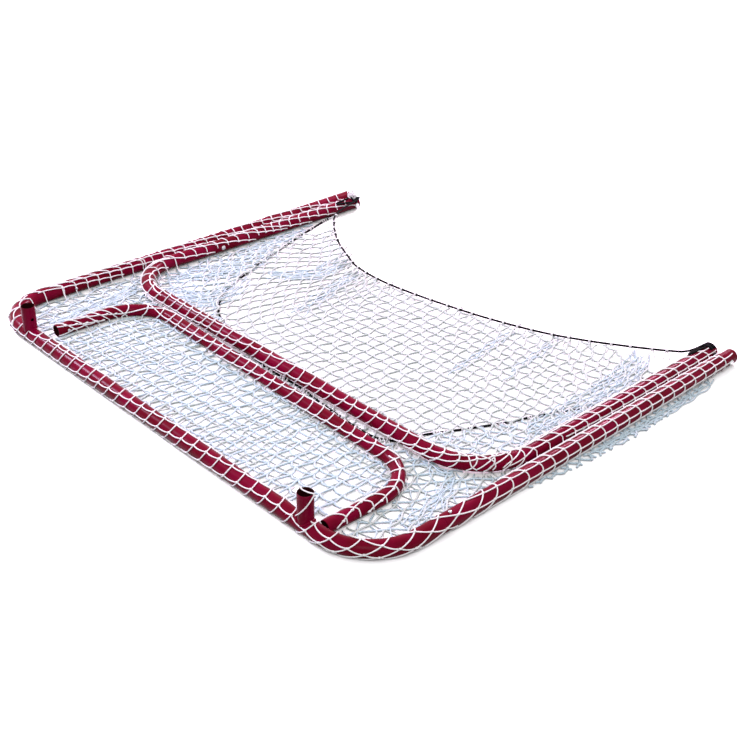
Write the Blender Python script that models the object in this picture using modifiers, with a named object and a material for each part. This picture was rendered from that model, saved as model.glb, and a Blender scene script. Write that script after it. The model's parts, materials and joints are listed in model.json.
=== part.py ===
"""Folding steel-tube ice hockey goal, folded flat and lying on its front face.

Units are metres, +Z is up, +X runs along the crossbar and +Y runs from the crossbar to the feet.
The origin is under the middle of the goal's outer box, on the floor.
"""

from math import asin, cos, pi, radians, sin

import bmesh
import bpy
import numpy as np
from mathutils import Matrix, Vector

# Front frame: crossbar, bent corners and posts
FRAME_TUBE_OD = 0.038
FRAME_WALL = 0.0016
MOUTH_WIDTH = 1.372
FRAME_LENGTH = 1.231
FRAME_CORNER_RADIUS = 0.136
POST_JOINT_Y = 0.200
POST_SPIGOT_LENGTH = 0.060

# Base frame: a U that lies inside the posts and pivots at their feet
BASE_TUBE_OD = 0.036
BASE_WALL = 0.0015
BASE_CORNER_RADIUS = 0.152
BASE_BAR_Y = 0.362
ARM_TO_POST_GAP = 0.011
ARM_END_MARGIN = 0.012
ARM_JOINT_Y = 0.655
ARM_SPIGOT_LENGTH = 0.050

# Top shelf: a loose U that lies inside the front frame
SHELF_TUBE_OD = 0.0312
SHELF_WALL = 0.0014
SHELF_SPRING_OUT = 0.003
SHELF_LEG_LENGTH = 0.2617
SHELF_CORNER_RADIUS = 0.119
SHELF_MIDDLE_X = 0.0236
SHELF_TURN = radians(-1.69)
SHELF_GAP_TO_CROSSBAR = 0.007

# Sockets on the crossbar that take the legs of the top shelf
SOCKET_X = 0.530
SOCKET_HEIGHT = 0.060
SOCKET_WALL = 0.0014
SOCKET_FIT = 0.0003

# Fasteners and fittings
BOLT_DIAMETER = 0.008
BOLT_HEAD_DIAMETER = 0.0135
BOLT_HEAD_HEIGHT = 0.0042
NUT_ACROSS_FLATS = 0.013
NUT_THICKNESS = 0.0052
HINGE_FROM_FOOT = 0.028
SPACER_OD = 0.016
ARM_BOLT_FROM_JOINT = 0.025
BUTTON_DIAMETER = 0.008
BUTTON_STAND_OUT = 0.0032
BUTTON_FLANGE_DIAMETER = 0.0115
BUTTON_FLANGE = 0.0012
BUTTON_FROM_JOINT = 0.022
BUTTON_FROM_LEG_END = 0.027
PLUG_FLANGE = 0.002
PLUG_DEPTH = 0.018
PLUG_MARGIN = 0.0008

# Net and elastic cords
TWINE = 0.0025
NET_CELL = 0.070
NET_SEAM_GAP = 0.010
BASE_NET_MARGIN = 0.009
CORD_DIAMETER = 0.0045
CORD_FLOOR_GAP = 0.00045

# Gaps between neighbouring solids
CLEARANCE = 0.0003
CUT_OVERRUN = 0.02

# Smoothness
TUBE_SIDES = 16
BEND_STEPS = 9
SMALL_SIDES = 12
CORD_STEP = 0.034

# Worked out from the sizes above
FRAME_RADIUS = FRAME_TUBE_OD / 2
BASE_RADIUS = BASE_TUBE_OD / 2
SHELF_RADIUS = SHELF_TUBE_OD / 2
CORD_RADIUS = CORD_DIAMETER / 2
FRAME_SPIGOT_RADIUS = FRAME_RADIUS - FRAME_WALL - CLEARANCE
BASE_SPIGOT_RADIUS = BASE_RADIUS - BASE_WALL - CLEARANCE
SOCKET_BORE_RADIUS = SHELF_RADIUS + SOCKET_FIT
SOCKET_RADIUS = SOCKET_BORE_RADIUS + SOCKET_WALL
POST_X = MOUTH_WIDTH / 2 + FRAME_RADIUS
ARM_X = POST_X - FRAME_RADIUS - ARM_TO_POST_GAP - BASE_RADIUS
ARM_END_Y = FRAME_LENGTH - ARM_END_MARGIN
HINGE_Y = FRAME_LENGTH - HINGE_FROM_FOOT
HINGE_Z = FRAME_RADIUS
BASE_BAR_Z = BASE_RADIUS + CORD_DIAMETER + CORD_FLOOR_GAP + CLEARANCE
BASE_TILT = asin((BASE_BAR_Z - HINGE_Z) / (HINGE_Y - BASE_BAR_Y))
SHELF_LEG_X = SOCKET_X + SHELF_SPRING_OUT
SHELF_LEG_END_Y = FRAME_RADIUS + SHELF_GAP_TO_CROSSBAR - SHELF_LEG_X * sin(SHELF_TURN)
NET_END_Y = BASE_BAR_Y - NET_SEAM_GAP / 2
NET_ROWS = round(NET_END_Y / NET_CELL + 0.5)
NET_ROW = NET_END_Y / (NET_ROWS - 0.5)
NET_COLUMN = SOCKET_X / round(SOCKET_X / NET_CELL)
NET_COLUMNS = 2 * int(POST_X / NET_COLUMN - 0.5) + 1
NEAR_SIDE_Y = -(NET_ROW + TWINE) / 2
FAR_SIDE_Y = FRAME_LENGTH + CLEARANCE + PLUG_FLANGE
CROSSBAR_Y = -(NEAR_SIDE_Y + FAR_SIDE_Y) / 2

# Route of the elastic cord that edges the net, from the left arm's groove to the right one.
# The two ends lie over the arms and are worked out; these are the points of the free stretch.
RIM_CORD_POINTS = (
    (-0.607, 1.093, 0.030),
    (-0.549, 1.029, 0.026),
    (-0.458, 0.964, 0.022),
    (-0.345, 0.910, 0.018),
    (-0.287, 0.891, 0.016),
    (-0.185, 0.884, 0.014),
    (-0.066, 0.897, 0.012),
    (0.071, 0.920, 0.012),
    (0.177, 0.944, 0.012),
    (0.302, 0.980, 0.014),
    (0.400, 1.020, 0.017),
    (0.489, 1.067, 0.021),
    (0.585, 1.135, 0.027),
)

# Route of the second elastic cord, which lies on the floor and passes under the base bar twice
INNER_CORD_POINTS = (
    (-0.6445, 1.100),
    (-0.631, 1.055),
    (-0.596, 0.941),
    (-0.552, 0.811),
    (-0.521, 0.728),
    (-0.492, 0.658),
    (-0.454, 0.563),
    (-0.417, 0.510),
    (-0.375, 0.466),
    (-0.329, 0.433),
    (-0.264, 0.414),
    (-0.170, 0.383),
    (-0.044, 0.352),
    (0.086, 0.351),
    (0.170, 0.342),
    (0.294, 0.332),
    (0.375, 0.335),
    (0.418, 0.366),
    (0.438, 0.425),
    (0.467, 0.481),
    (0.495, 0.537),
    (0.522, 0.591),
    (0.546, 0.656),
    (0.577, 0.725),
    (0.611, 0.792),
    (0.643, 0.850),
)

# Where the cord ends cross over the arms, and how far they run back along the groove
CORD_WRAP_FROM_HINGE = 0.024
CORD_WRAP_SLOPE = 0.010
CORD_GROOVE_RUN = 0.085


def clear_scene():
    """Remove what the scene starts with."""
    for item in list(bpy.data.objects):
        bpy.data.objects.remove(item, do_unlink=True)


def make_collection(name):
    """A collection for the goal's pieces or for the cutters."""
    collection = bpy.data.collections.new(name)
    bpy.context.scene.collection.children.link(collection)
    return collection


def make_material(name, colour, roughness, metallic=0.0):
    """A Principled material with the piece's own colour."""
    material = bpy.data.materials.new(name)
    material.use_nodes = True
    shader = material.node_tree.nodes["Principled BSDF"]
    shader.inputs["Base Color"].default_value = (*colour, 1.0)
    shader.inputs["Roughness"].default_value = roughness
    shader.inputs["Metallic"].default_value = metallic
    material.diffuse_color = (*colour, 1.0)
    return material


clear_scene()
GOAL = make_collection("folding_hockey_goal")
CUTTERS = make_collection("cutters")
PAINT = make_material("crimson_powder_coat", (0.34, 0.005, 0.022), 0.22)
STEEL = make_material("zinc_plated_steel", (0.62, 0.62, 0.62), 0.30, 1.0)
PLASTIC = make_material("black_plastic", (0.012, 0.012, 0.014), 0.45)
TWINE_WHITE = make_material("white_twine", (0.74, 0.76, 0.78), 0.80)
ELASTIC = make_material("black_elastic", (0.008, 0.008, 0.009), 0.70)


def place(x, y, z):
    """A point measured from the crossbar's middle, as a point in the goal's own frame."""
    return Vector((x, y + CROSSBAR_Y, z))


def make_pivot(name, location, turn=(0.0, 0.0, 0.0)):
    """An empty on a joint's axis, which carries the pieces that move with it."""
    pivot = bpy.data.objects.new(name, None)
    pivot.location = location
    pivot.rotation_euler = turn
    pivot.empty_display_size = 0.05
    GOAL.objects.link(pivot)
    bpy.context.view_layer.update()
    return pivot


def finish(item, material, parent=None):
    """Give a piece its material, smooth its round faces and hang it on its pivot."""
    item.data.materials.clear()
    item.data.materials.append(material)
    item.data.shade_smooth()
    item.data.set_sharp_from_angle(angle=radians(35))
    for modifier in item.modifiers:
        if modifier.type == "BOOLEAN":
            modifier.object.parent = parent
    item.parent = parent
    return item


def mesh_object(name, collection, fill):
    """A mesh object whose faces the function fill makes in a bmesh."""
    mesh = bpy.data.meshes.new(name)
    shape = bmesh.new()
    fill(shape)
    shape.to_mesh(mesh)
    shape.free()
    item = bpy.data.objects.new(name, mesh)
    collection.objects.link(item)
    return item


def cylinder(name, start, end, radius, sides=TUBE_SIDES, collection=None):
    """A capped cylinder between two points."""
    start, end = Vector(start), Vector(end)
    along = end - start
    turn = along.to_track_quat("Z", "Y").to_matrix().to_4x4()

    def fill(shape):
        bmesh.ops.create_cone(
            shape,
            cap_ends=True,
            segments=sides,
            radius1=radius,
            radius2=radius,
            depth=along.length,
            matrix=Matrix.Translation((start + end) / 2) @ turn,
        )

    return mesh_object(name, collection or GOAL, fill)


def swept_tube(name, points, radii, sides=TUBE_SIDES, collection=None):
    """A solid round bar along points, with a radius for each point, as a mesh with welded caps."""
    curve = bpy.data.curves.new(name, "CURVE")
    curve.dimensions = "3D"
    curve.bevel_depth = 1.0
    curve.bevel_resolution = (sides - 4) // 2
    curve.use_fill_caps = True
    spline = curve.splines.new("POLY")
    spline.points.add(len(points) - 1)
    for spot, point, radius in zip(spline.points, points, radii):
        spot.co = (*point, 1.0)
        spot.radius = radius
    guide = bpy.data.objects.new(name + "_route", curve)
    (collection or GOAL).objects.link(guide)
    bpy.context.view_layer.update()
    seen = guide.evaluated_get(bpy.context.evaluated_depsgraph_get())
    mesh = bpy.data.meshes.new_from_object(seen)
    mesh.name = name
    shape = bmesh.new()
    shape.from_mesh(mesh)
    bmesh.ops.remove_doubles(shape, verts=shape.verts, dist=0.00001)
    bmesh.ops.recalc_face_normals(shape, faces=shape.faces)
    shape.to_mesh(mesh)
    shape.free()
    item = bpy.data.objects.new(name, mesh)
    item.matrix_world = guide.matrix_world
    (collection or GOAL).objects.link(item)
    bpy.data.objects.remove(guide, do_unlink=True)
    return item


def cut(item, cutter):
    """Take a cutter's shape out of a piece, and keep the cutter out of sight."""
    cutter.hide_render = True
    cutter.display_type = "WIRE"
    modifier = item.modifiers.new(cutter.name, "BOOLEAN")
    modifier.operation = "DIFFERENCE"
    modifier.solver = "EXACT"
    modifier.object = cutter


def join(item, other):
    """Add another shape to a piece."""
    other.hide_render = True
    other.display_type = "WIRE"
    modifier = item.modifiers.new(other.name, "BOOLEAN")
    modifier.operation = "UNION"
    modifier.solver = "EXACT"
    modifier.object = other


def side_name(side):
    """The word for the -X side or the +X side."""
    return "left" if side < 0 else "right"


def u_route(half_width, bend, leg_end, turn_steps=BEND_STEPS):
    """Points of a U, from the +X leg's end round the bar at y = 0 to the -X leg's end."""
    right = [(half_width, leg_end)]
    for step in range(turn_steps + 1):
        angle = pi / 2 * step / turn_steps
        right.append((half_width - bend + bend * cos(angle), bend - bend * sin(angle)))
    left = [(-x, y) for x, y in reversed(right)]
    return right + left


def stepped_route(flat, spigot, height):
    """A U's points with a spigot of smaller radius at each end, and which points are spigot."""
    sense = 1 if flat[0][1] > flat[1][1] else -1
    step = 0.0002 * sense
    tip = sense * spigot
    first, last = flat[0], flat[-1]
    route = [(first[0], first[1] + tip), (first[0], first[1] + step)]
    route += flat
    route += [(last[0], last[1] + step), (last[0], last[1] + tip)]
    narrow = [True, True] + [False] * len(flat) + [True, True]
    return [Vector((x, y, height)) for x, y in route], narrow


def hollow_u(name, flat, radius, wall, spigot, spigot_radius, offset, height):
    """A bent tube with an open bore, and a smaller spigot at each end where one is asked for."""
    if spigot:
        points, narrow = stepped_route(flat, spigot, height)
    else:
        points = [Vector((x, y, height)) for x, y in flat]
        narrow = [False] * len(points)
    points = [point + offset for point in points]
    outer = [spigot_radius if thin else radius for thin in narrow]
    tube = swept_tube(name, points, outer)
    inner = [value - wall for value in outer]
    lengthened = list(points)
    lengthened[0] = points[0] + (points[0] - points[1]).normalized() * CUT_OVERRUN
    lengthened[-1] = points[-1] + (points[-1] - points[-2]).normalized() * CUT_OVERRUN
    cut(tube, swept_tube(name + "_bore", lengthened, inner, collection=CUTTERS))
    return tube


def hollow_straight(name, start, end, radius, wall):
    """A straight tube with an open bore."""
    start, end = Vector(start), Vector(end)
    overrun = (end - start).normalized() * CUT_OVERRUN
    tube = cylinder(name, start, end, radius)
    cut(tube, cylinder(name + "_bore", start - overrun, end + overrun, radius - wall, collection=CUTTERS))
    return tube


def drill(item, name, centre, direction, length, radius):
    """A round hole through a piece, from the centre along direction and length to each side."""
    reach = Vector(direction) * length
    centre = Vector(centre)
    cut(item, cylinder(name, centre - reach, centre + reach, radius, SMALL_SIDES, CUTTERS))


def button_direction(side):
    """The right post's button faces up and the left post's faces the middle of the goal."""
    return Vector((0, 0, 1)) if side > 0 else Vector((1, 0, 0))


def button_centre(side):
    """Where a snap button's axis crosses its post's axis."""
    return place(side * POST_X, POST_JOINT_Y + BUTTON_FROM_JOINT, FRAME_RADIUS)


def make_crossbar():
    """The crossbar with its two bent corners and the spigots that enter the posts."""
    flat = u_route(POST_X, FRAME_CORNER_RADIUS, POST_JOINT_Y - CLEARANCE)
    bar = hollow_u(
        "crossbar",
        flat,
        FRAME_RADIUS,
        FRAME_WALL,
        POST_SPIGOT_LENGTH,
        FRAME_SPIGOT_RADIUS,
        Vector((0, CROSSBAR_Y, 0)),
        FRAME_RADIUS,
    )
    for side in (-1, 1):
        name = f"crossbar_{side_name(side)}_button_hole"
        button_hole(bar, name, button_centre(side), button_direction(side), FRAME_RADIUS)
    return finish(bar, PAINT)


def make_post(side):
    """A straight post, from the crossbar's corner to the foot."""
    name = side_name(side) + "_post"
    start = place(side * POST_X, POST_JOINT_Y, FRAME_RADIUS)
    end = place(side * POST_X, FRAME_LENGTH, FRAME_RADIUS)
    post = hollow_straight(name, start, end, FRAME_RADIUS, FRAME_WALL)
    button_hole(post, name + "_button_hole", button_centre(side), button_direction(side), FRAME_RADIUS)
    hinge = place(side * POST_X, HINGE_Y, HINGE_Z)
    drill(post, name + "_bolt_hole", hinge, (1, 0, 0), FRAME_TUBE_OD, BOLT_DIAMETER / 2 + CLEARANCE)
    return finish(post, PAINT)


def button_hole(item, name, centre, way, radius):
    """A button's hole through one wall of a tube of the given outer radius."""
    start = centre + way * radius / 2
    end = centre + way * (radius + CUT_OVERRUN)
    cut(item, cylinder(name, start, end, BUTTON_DIAMETER / 2 + CLEARANCE, SMALL_SIDES, CUTTERS))


def make_snap_button(name, centre, way, outer_radius, inner_radius, parent=None):
    """A spring button that stands out of a tube's wall, with a flange that stops behind it."""
    flat_inside = inner_radius * cos(asin(BUTTON_FLANGE_DIAMETER / 2 / inner_radius)) - CLEARANCE
    base = centre + way * (flat_inside - BUTTON_FLANGE)
    tip = centre + way * (outer_radius + BUTTON_STAND_OUT)
    stem = cylinder(name, base, tip, BUTTON_DIAMETER / 2, SMALL_SIDES)
    chamfer = stem.modifiers.new("rounded_tip", "BEVEL")
    chamfer.width = BUTTON_DIAMETER / 6
    chamfer.segments = 2
    chamfer.limit_method = "ANGLE"
    flange = cylinder(
        name + "_flange",
        base,
        base + way * BUTTON_FLANGE,
        BUTTON_FLANGE_DIAMETER / 2,
        SMALL_SIDES,
        CUTTERS,
    )
    join(stem, flange)
    return finish(stem, STEEL, parent)


def make_post_button(side):
    """The button that locks a post to the crossbar's spigot."""
    name = side_name(side) + "_post_snap_button"
    bore = FRAME_SPIGOT_RADIUS - FRAME_WALL
    make_snap_button(name, button_centre(side), button_direction(side), FRAME_RADIUS, bore)


def make_socket(side):
    """An open upright tube, welded on the crossbar, that takes one leg of the top shelf."""
    name = side_name(side) + "_shelf_socket"
    bottom = place(side * SOCKET_X, 0, FRAME_RADIUS)
    top = place(side * SOCKET_X, 0, FRAME_TUBE_OD + SOCKET_HEIGHT)
    socket = hollow_straight(name, bottom, top, SOCKET_RADIUS, SOCKET_WALL)
    reach = SOCKET_RADIUS + CUT_OVERRUN
    saddle = cylinder(
        name + "_saddle",
        place(side * SOCKET_X - reach, 0, FRAME_RADIUS),
        place(side * SOCKET_X + reach, 0, FRAME_RADIUS),
        FRAME_RADIUS + CLEARANCE,
        TUBE_SIDES * 2,
        CUTTERS,
    )
    cut(socket, saddle)
    hole_height = FRAME_TUBE_OD + CLEARANCE + BUTTON_FROM_LEG_END
    hole_centre = place(side * SOCKET_X, 0, hole_height)
    button_hole(socket, name + "_button_hole", hole_centre, Vector((-side, 0, 0)), SOCKET_RADIUS)
    return finish(socket, PAINT)


def make_bolt(name, seat, direction, length, parent=None):
    """A round-headed bolt: the head's flat face is at seat, and the shank runs along direction."""
    way = Vector(direction)
    seat = Vector(seat)
    bolt = cylinder(name, seat - way * BOLT_HEAD_HEIGHT, seat + way * length, BOLT_DIAMETER / 2, SMALL_SIDES)
    head = cylinder(
        name + "_head",
        seat - way * BOLT_HEAD_HEIGHT,
        seat,
        BOLT_HEAD_DIAMETER / 2,
        SMALL_SIDES,
        CUTTERS,
    )
    dome = head.modifiers.new("dome", "BEVEL")
    dome.width = BOLT_HEAD_HEIGHT * 0.45
    dome.segments = 2
    dome.limit_method = "ANGLE"
    join(bolt, head)
    return finish(bolt, STEEL, parent)


def make_nut(name, seat, direction, parent=None):
    """A hexagon nut whose inner face is at seat, facing the other way from direction."""
    way = Vector(direction)
    seat = Vector(seat)
    end = seat + way * NUT_THICKNESS
    nut = cylinder(name, seat, end, NUT_ACROSS_FLATS / 2 / cos(pi / 6), 6)
    bore = cylinder(
        name + "_bore",
        seat - way * CUT_OVERRUN,
        end + way * CUT_OVERRUN,
        BOLT_DIAMETER / 2 + CLEARANCE,
        SMALL_SIDES,
        CUTTERS,
    )
    cut(nut, bore)
    return finish(nut, STEEL, parent)


def make_hinge_hardware(side):
    """The bolt, spacer and nut on which one arm of the base frame turns."""
    word = side_name(side)
    inward = Vector((-side, 0, 0))
    outer_face = place(side * (POST_X + FRAME_RADIUS + CLEARANCE), HINGE_Y, HINGE_Z)
    inner_x = ARM_X - BASE_RADIUS - CLEARANCE
    inner_face = place(side * inner_x, HINGE_Y, HINGE_Z)
    length = (outer_face - inner_face).length + NUT_THICKNESS + BOLT_DIAMETER / 4
    make_bolt(word + "_hinge_bolt", outer_face, inward, length)
    make_nut(word + "_hinge_nut", inner_face, inward)
    start = place(side * (POST_X - FRAME_RADIUS - CLEARANCE), HINGE_Y, HINGE_Z)
    end = place(side * (ARM_X + BASE_RADIUS + CLEARANCE), HINGE_Y, HINGE_Z)
    spacer = cylinder(word + "_hinge_spacer", start, end, SPACER_OD / 2, SMALL_SIDES)
    drill(
        spacer,
        word + "_hinge_spacer_bore",
        (start + end) / 2,
        (1, 0, 0),
        ARM_TO_POST_GAP,
        BOLT_DIAMETER / 2 + CLEARANCE,
    )
    finish(spacer, PLASTIC)


def base_local(x, y, z=0.0):
    """A point of the base frame, measured from the hinge axis in the frame's own plane."""
    return Vector((x, y - HINGE_Y, z))


def make_base_frame(pivot):
    """The base bar with its bent corners, the two arms, and what joins and closes them."""
    offset = base_local(0, BASE_BAR_Y)
    flat = u_route(ARM_X, BASE_CORNER_RADIUS, ARM_JOINT_Y - BASE_BAR_Y - CLEARANCE)
    bar = hollow_u(
        "base_bar", flat, BASE_RADIUS, BASE_WALL, ARM_SPIGOT_LENGTH, BASE_SPIGOT_RADIUS, offset, 0
    )
    bolt_y = ARM_JOINT_Y + ARM_BOLT_FROM_JOINT
    hole_radius = BOLT_DIAMETER / 2 + CLEARANCE
    for side in (-1, 1):
        word = side_name(side)
        splice = base_local(side * ARM_X, bolt_y)
        drill(bar, f"base_bar_{word}_bolt_hole", splice, (1, 0, 0), BASE_TUBE_OD, hole_radius)
        name = word + "_base_arm"
        arm = hollow_straight(
            name,
            base_local(side * ARM_X, ARM_JOINT_Y),
            base_local(side * ARM_X, ARM_END_Y),
            BASE_RADIUS,
            BASE_WALL,
        )
        drill(arm, name + "_splice_hole", splice, (1, 0, 0), BASE_TUBE_OD, hole_radius)
        hinge = base_local(side * ARM_X, HINGE_Y)
        drill(arm, name + "_hinge_hole", hinge, (1, 0, 0), BASE_TUBE_OD, hole_radius)
        finish(arm, PAINT, pivot)
        reach = BASE_RADIUS + CLEARANCE
        head_seat = splice - Vector((side * reach, 0, 0))
        nut_seat = splice + Vector((side * reach, 0, 0))
        length = 2 * reach + NUT_THICKNESS
        make_bolt(word + "_arm_joint_bolt", head_seat, (side, 0, 0), length, pivot)
        make_nut(word + "_arm_joint_nut", nut_seat, (side, 0, 0), pivot)
    finish(bar, PAINT, pivot)


def make_arm_plugs(pivot):
    """The plastic plugs in the ends of the base frame's arms."""
    for side in (-1, 1):
        name = side_name(side) + "_arm_end_plug"
        tip = base_local(side * ARM_X, ARM_END_Y)
        make_end_plug(name, tip, BASE_RADIUS, BASE_WALL, ARM_END_Y - HINGE_Y, pivot)


def make_end_plug(name, tip, radius, wall, to_bolt, parent=None):
    """An end plug that stops short of the hinge bolt, which crosses the same tube."""
    depth = min(PLUG_DEPTH, to_bolt - BOLT_DIAMETER / 2 - CLEARANCE * 2)
    bore = radius - wall
    outer = Vector(tip) + Vector((0, CLEARANCE + PLUG_FLANGE, 0))
    inner = Vector(tip) - Vector((0, depth, 0))
    shoulder = Vector(tip) + Vector((0, CLEARANCE, 0))
    plug = swept_tube(
        name,
        [inner, shoulder - Vector((0, 0.0001, 0)), shoulder, outer],
        [bore - CLEARANCE, bore - CLEARANCE, radius - PLUG_MARGIN, radius - PLUG_MARGIN],
        sides=SMALL_SIDES,
    )
    return finish(plug, PLASTIC, parent)


def make_top_shelf(pivot):
    """The loose U of thinner tube, with open legs that point at the crossbar."""
    flat = u_route(SHELF_LEG_X, SHELF_CORNER_RADIUS, SHELF_LEG_LENGTH)
    flat = [(x, -y) for x, y in flat]
    offset = Vector((0, SHELF_LEG_LENGTH, -SHELF_RADIUS))
    shelf = hollow_u("top_shelf", flat, SHELF_RADIUS, SHELF_WALL, 0, 0, offset, 0)
    for side in (-1, 1):
        word = side_name(side)
        centre = Vector((side * SHELF_LEG_X, BUTTON_FROM_LEG_END, -SHELF_RADIUS))
        inward = Vector((-side, 0, 0))
        button_hole(shelf, f"top_shelf_{word}_button_hole", centre, inward, SHELF_RADIUS)
        bore = SHELF_RADIUS - SHELF_WALL
        make_snap_button(word + "_shelf_snap_button", centre, inward, SHELF_RADIUS, bore, pivot)
    finish(shelf, PAINT, pivot)


def smooth_points(points, step):
    """Points at an even spacing on a Catmull-Rom curve through the route's points."""
    spots = [Vector(point) for point in points]
    spots = [spots[0] * 2 - spots[1]] + spots + [spots[-1] * 2 - spots[-2]]
    dense = []
    for a, b, c, d in zip(spots, spots[1:], spots[2:], spots[3:]):
        for part in np.linspace(0, 1, 24, endpoint=False):
            dense.append(
                0.5
                * (
                    2 * b
                    + (c - a) * part
                    + (2 * a - 5 * b + 4 * c - d) * part**2
                    + (3 * b - a - 3 * c + d) * part**3
                )
            )
    dense.append(spots[-2])
    lengths = [0.0]
    for a, b in zip(dense, dense[1:]):
        lengths.append(lengths[-1] + (b - a).length)
    count = max(4, round(lengths[-1] / step))
    where = np.linspace(0, lengths[-1], count + 1)
    columns = [np.interp(where, lengths, [spot[axis] for spot in dense]) for axis in range(3)]
    return [Vector(row) for row in zip(*columns)]


def cord_wrap(side):
    """Points of a cord end: up the arm's inner side, over its top and back along the groove."""
    reach = BASE_RADIUS + CORD_RADIUS + CLEARANCE * 2
    start_y = HINGE_Y - CORD_WRAP_FROM_HINGE
    points = []
    for count, angle in enumerate((150, 125, 100, 75, 50, 28)):
        turn = radians(angle)
        y = start_y - CORD_WRAP_SLOPE + CORD_WRAP_SLOPE * count / 5
        points.append(base_local(side * (ARM_X + reach * cos(turn)), y, reach * sin(turn)))
    last = points[-1]
    for part in (0.15, 0.4, 0.7, 1.0):
        points.append(last - Vector((0, CORD_GROOVE_RUN * part, 0)))
    return points


def to_base(point):
    """A point measured from the crossbar's middle, as a point of the base frame's own plane."""
    x, y, z = point
    turned = Matrix.Rotation(BASE_TILT, 4, "X") @ Vector((0, y - HINGE_Y, z - HINGE_Z))
    return Vector((x, turned.y, turned.z))


def make_rim_cord(pivot):
    """The elastic cord along the net's free edge, tied over both arms near the feet."""
    middle = [to_base(point) for point in RIM_CORD_POINTS]
    route = smooth_points(middle, CORD_STEP)
    route = list(reversed(cord_wrap(-1))) + route + cord_wrap(1)
    cord = swept_tube("rim_cord", route, [CORD_RADIUS] * len(route), sides=8)
    return finish(cord, ELASTIC, pivot)


def make_inner_cord(pivot):
    """The second elastic cord, on the floor inside the base frame and under its bar."""
    height = CORD_FLOOR_GAP + CORD_RADIUS
    ground = [to_base((x, y, height)) for x, y in INNER_CORD_POINTS]
    route = smooth_points(ground, CORD_STEP)
    cord = swept_tube("inner_cord", route, [CORD_RADIUS] * len(route), sides=8)
    return finish(cord, ELASTIC, pivot)


def net_sheet(name, columns, rows, spot, parent=None):
    """A net of square twine: a grid whose corners the function spot places, as a wire lattice."""

    def fill(shape):
        bmesh.ops.create_grid(shape, x_segments=columns, y_segments=rows, size=0.5)
        for corner in shape.verts:
            corner.co = spot(corner.co.x + 0.5, corner.co.y + 0.5)

    net = mesh_object(name, GOAL, fill)
    wires = net.modifiers.new("twine", "WIREFRAME")
    wires.thickness = TWINE
    wires.use_boundary = True
    wires.use_replace = True
    wires.use_even_offset = True
    return finish(net, TWINE_WHITE, parent)


def net_height(y):
    """Height of the net's middle over the frame, resting on the crossbar and on the base bar."""
    front = FRAME_TUBE_OD + CLEARANCE + TWINE / 2
    back = BASE_BAR_Z + BASE_RADIUS + CLEARANCE + TWINE / 2
    return front + (back - front) * y / BASE_BAR_Y


def make_main_net():
    """The gathered net between the crossbar and the base bar."""

    def spot(across, along):
        y = NET_ROW * (NET_ROWS * along - 0.5)
        return place(NET_COLUMN * NET_COLUMNS * (across - 0.5), y, net_height(y))

    return net_sheet("main_net", NET_COLUMNS, NET_ROWS, spot)


def make_base_net(pivot):
    """The single layer of net inside the base frame, from the base bar to the rim cord."""
    half_width = ARM_X - BASE_RADIUS - BASE_NET_MARGIN
    rim_x = [-ARM_X] + [point[0] for point in RIM_CORD_POINTS] + [ARM_X]
    end_y = HINGE_Y - CORD_WRAP_FROM_HINGE
    rim_y = [end_y] + [point[1] for point in RIM_CORD_POINTS] + [end_y]
    first = BASE_BAR_Y + NET_SEAM_GAP / 2
    height = BASE_RADIUS + CLEARANCE + TWINE / 2

    def spot(across, along):
        x = half_width * (2 * across - 1)
        edge = float(np.interp(x, rim_x, rim_y))
        return base_local(x, first + (edge - first) * along, height)

    columns = round(2 * half_width / NET_CELL)
    rows = round((np.mean(rim_y) - first) / NET_CELL)
    return net_sheet("base_net", columns, rows, spot, pivot)


def build_goal():
    """Every piece of the goal, in the folded state."""
    make_crossbar()
    for side in (-1, 1):
        make_post(side)
        make_post_button(side)
        make_socket(side)
        make_hinge_hardware(side)
        foot = place(side * POST_X, FRAME_LENGTH, FRAME_RADIUS)
        name = side_name(side) + "_foot_plug"
        make_end_plug(name, foot, FRAME_RADIUS, FRAME_WALL, HINGE_FROM_FOOT)
    base_pivot = make_pivot("base_fold_axis", place(0, HINGE_Y, HINGE_Z), (-BASE_TILT, 0, 0))
    make_base_frame(base_pivot)
    make_arm_plugs(base_pivot)
    make_rim_cord(base_pivot)
    make_inner_cord(base_pivot)
    make_base_net(base_pivot)
    leg_ends = place(SHELF_MIDDLE_X, SHELF_LEG_END_Y, SHELF_TUBE_OD)
    shelf_pivot = make_pivot("shelf_swing_axis", leg_ends, (0, 0, SHELF_TURN))
    make_top_shelf(shelf_pivot)
    make_main_net()


build_goal()
print("hinge axis of the base frame", tuple(round(v, 5) for v in place(0, HINGE_Y, HINGE_Z)))
for pivot_name in ("shelf_swing_axis",):
    print(pivot_name, tuple(round(v, 5) for v in bpy.data.objects[pivot_name].matrix_world.translation))
print("pieces", len([item for item in GOAL.objects if item.type == "MESH"]))
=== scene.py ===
# %% [markdown]
# An ice hockey goal, folded flat. Steel tubes in gloss crimson powder coat lie on the floor:
# a front frame, a base frame hinged at its feet, and a loose top shelf. A knotted white net
# is still laced over them, with two black elastic cords along its edges.
#
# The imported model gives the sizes. Here every tube, fitting, cord and strand of twine is made
# again as a smooth surface, so that the goal can be looked at closely from any side.

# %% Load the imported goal
import json
from math import atan2, cos, degrees, pi, radians, sin

import bpy
import numpy as np
from mathutils import Matrix, Vector


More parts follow.
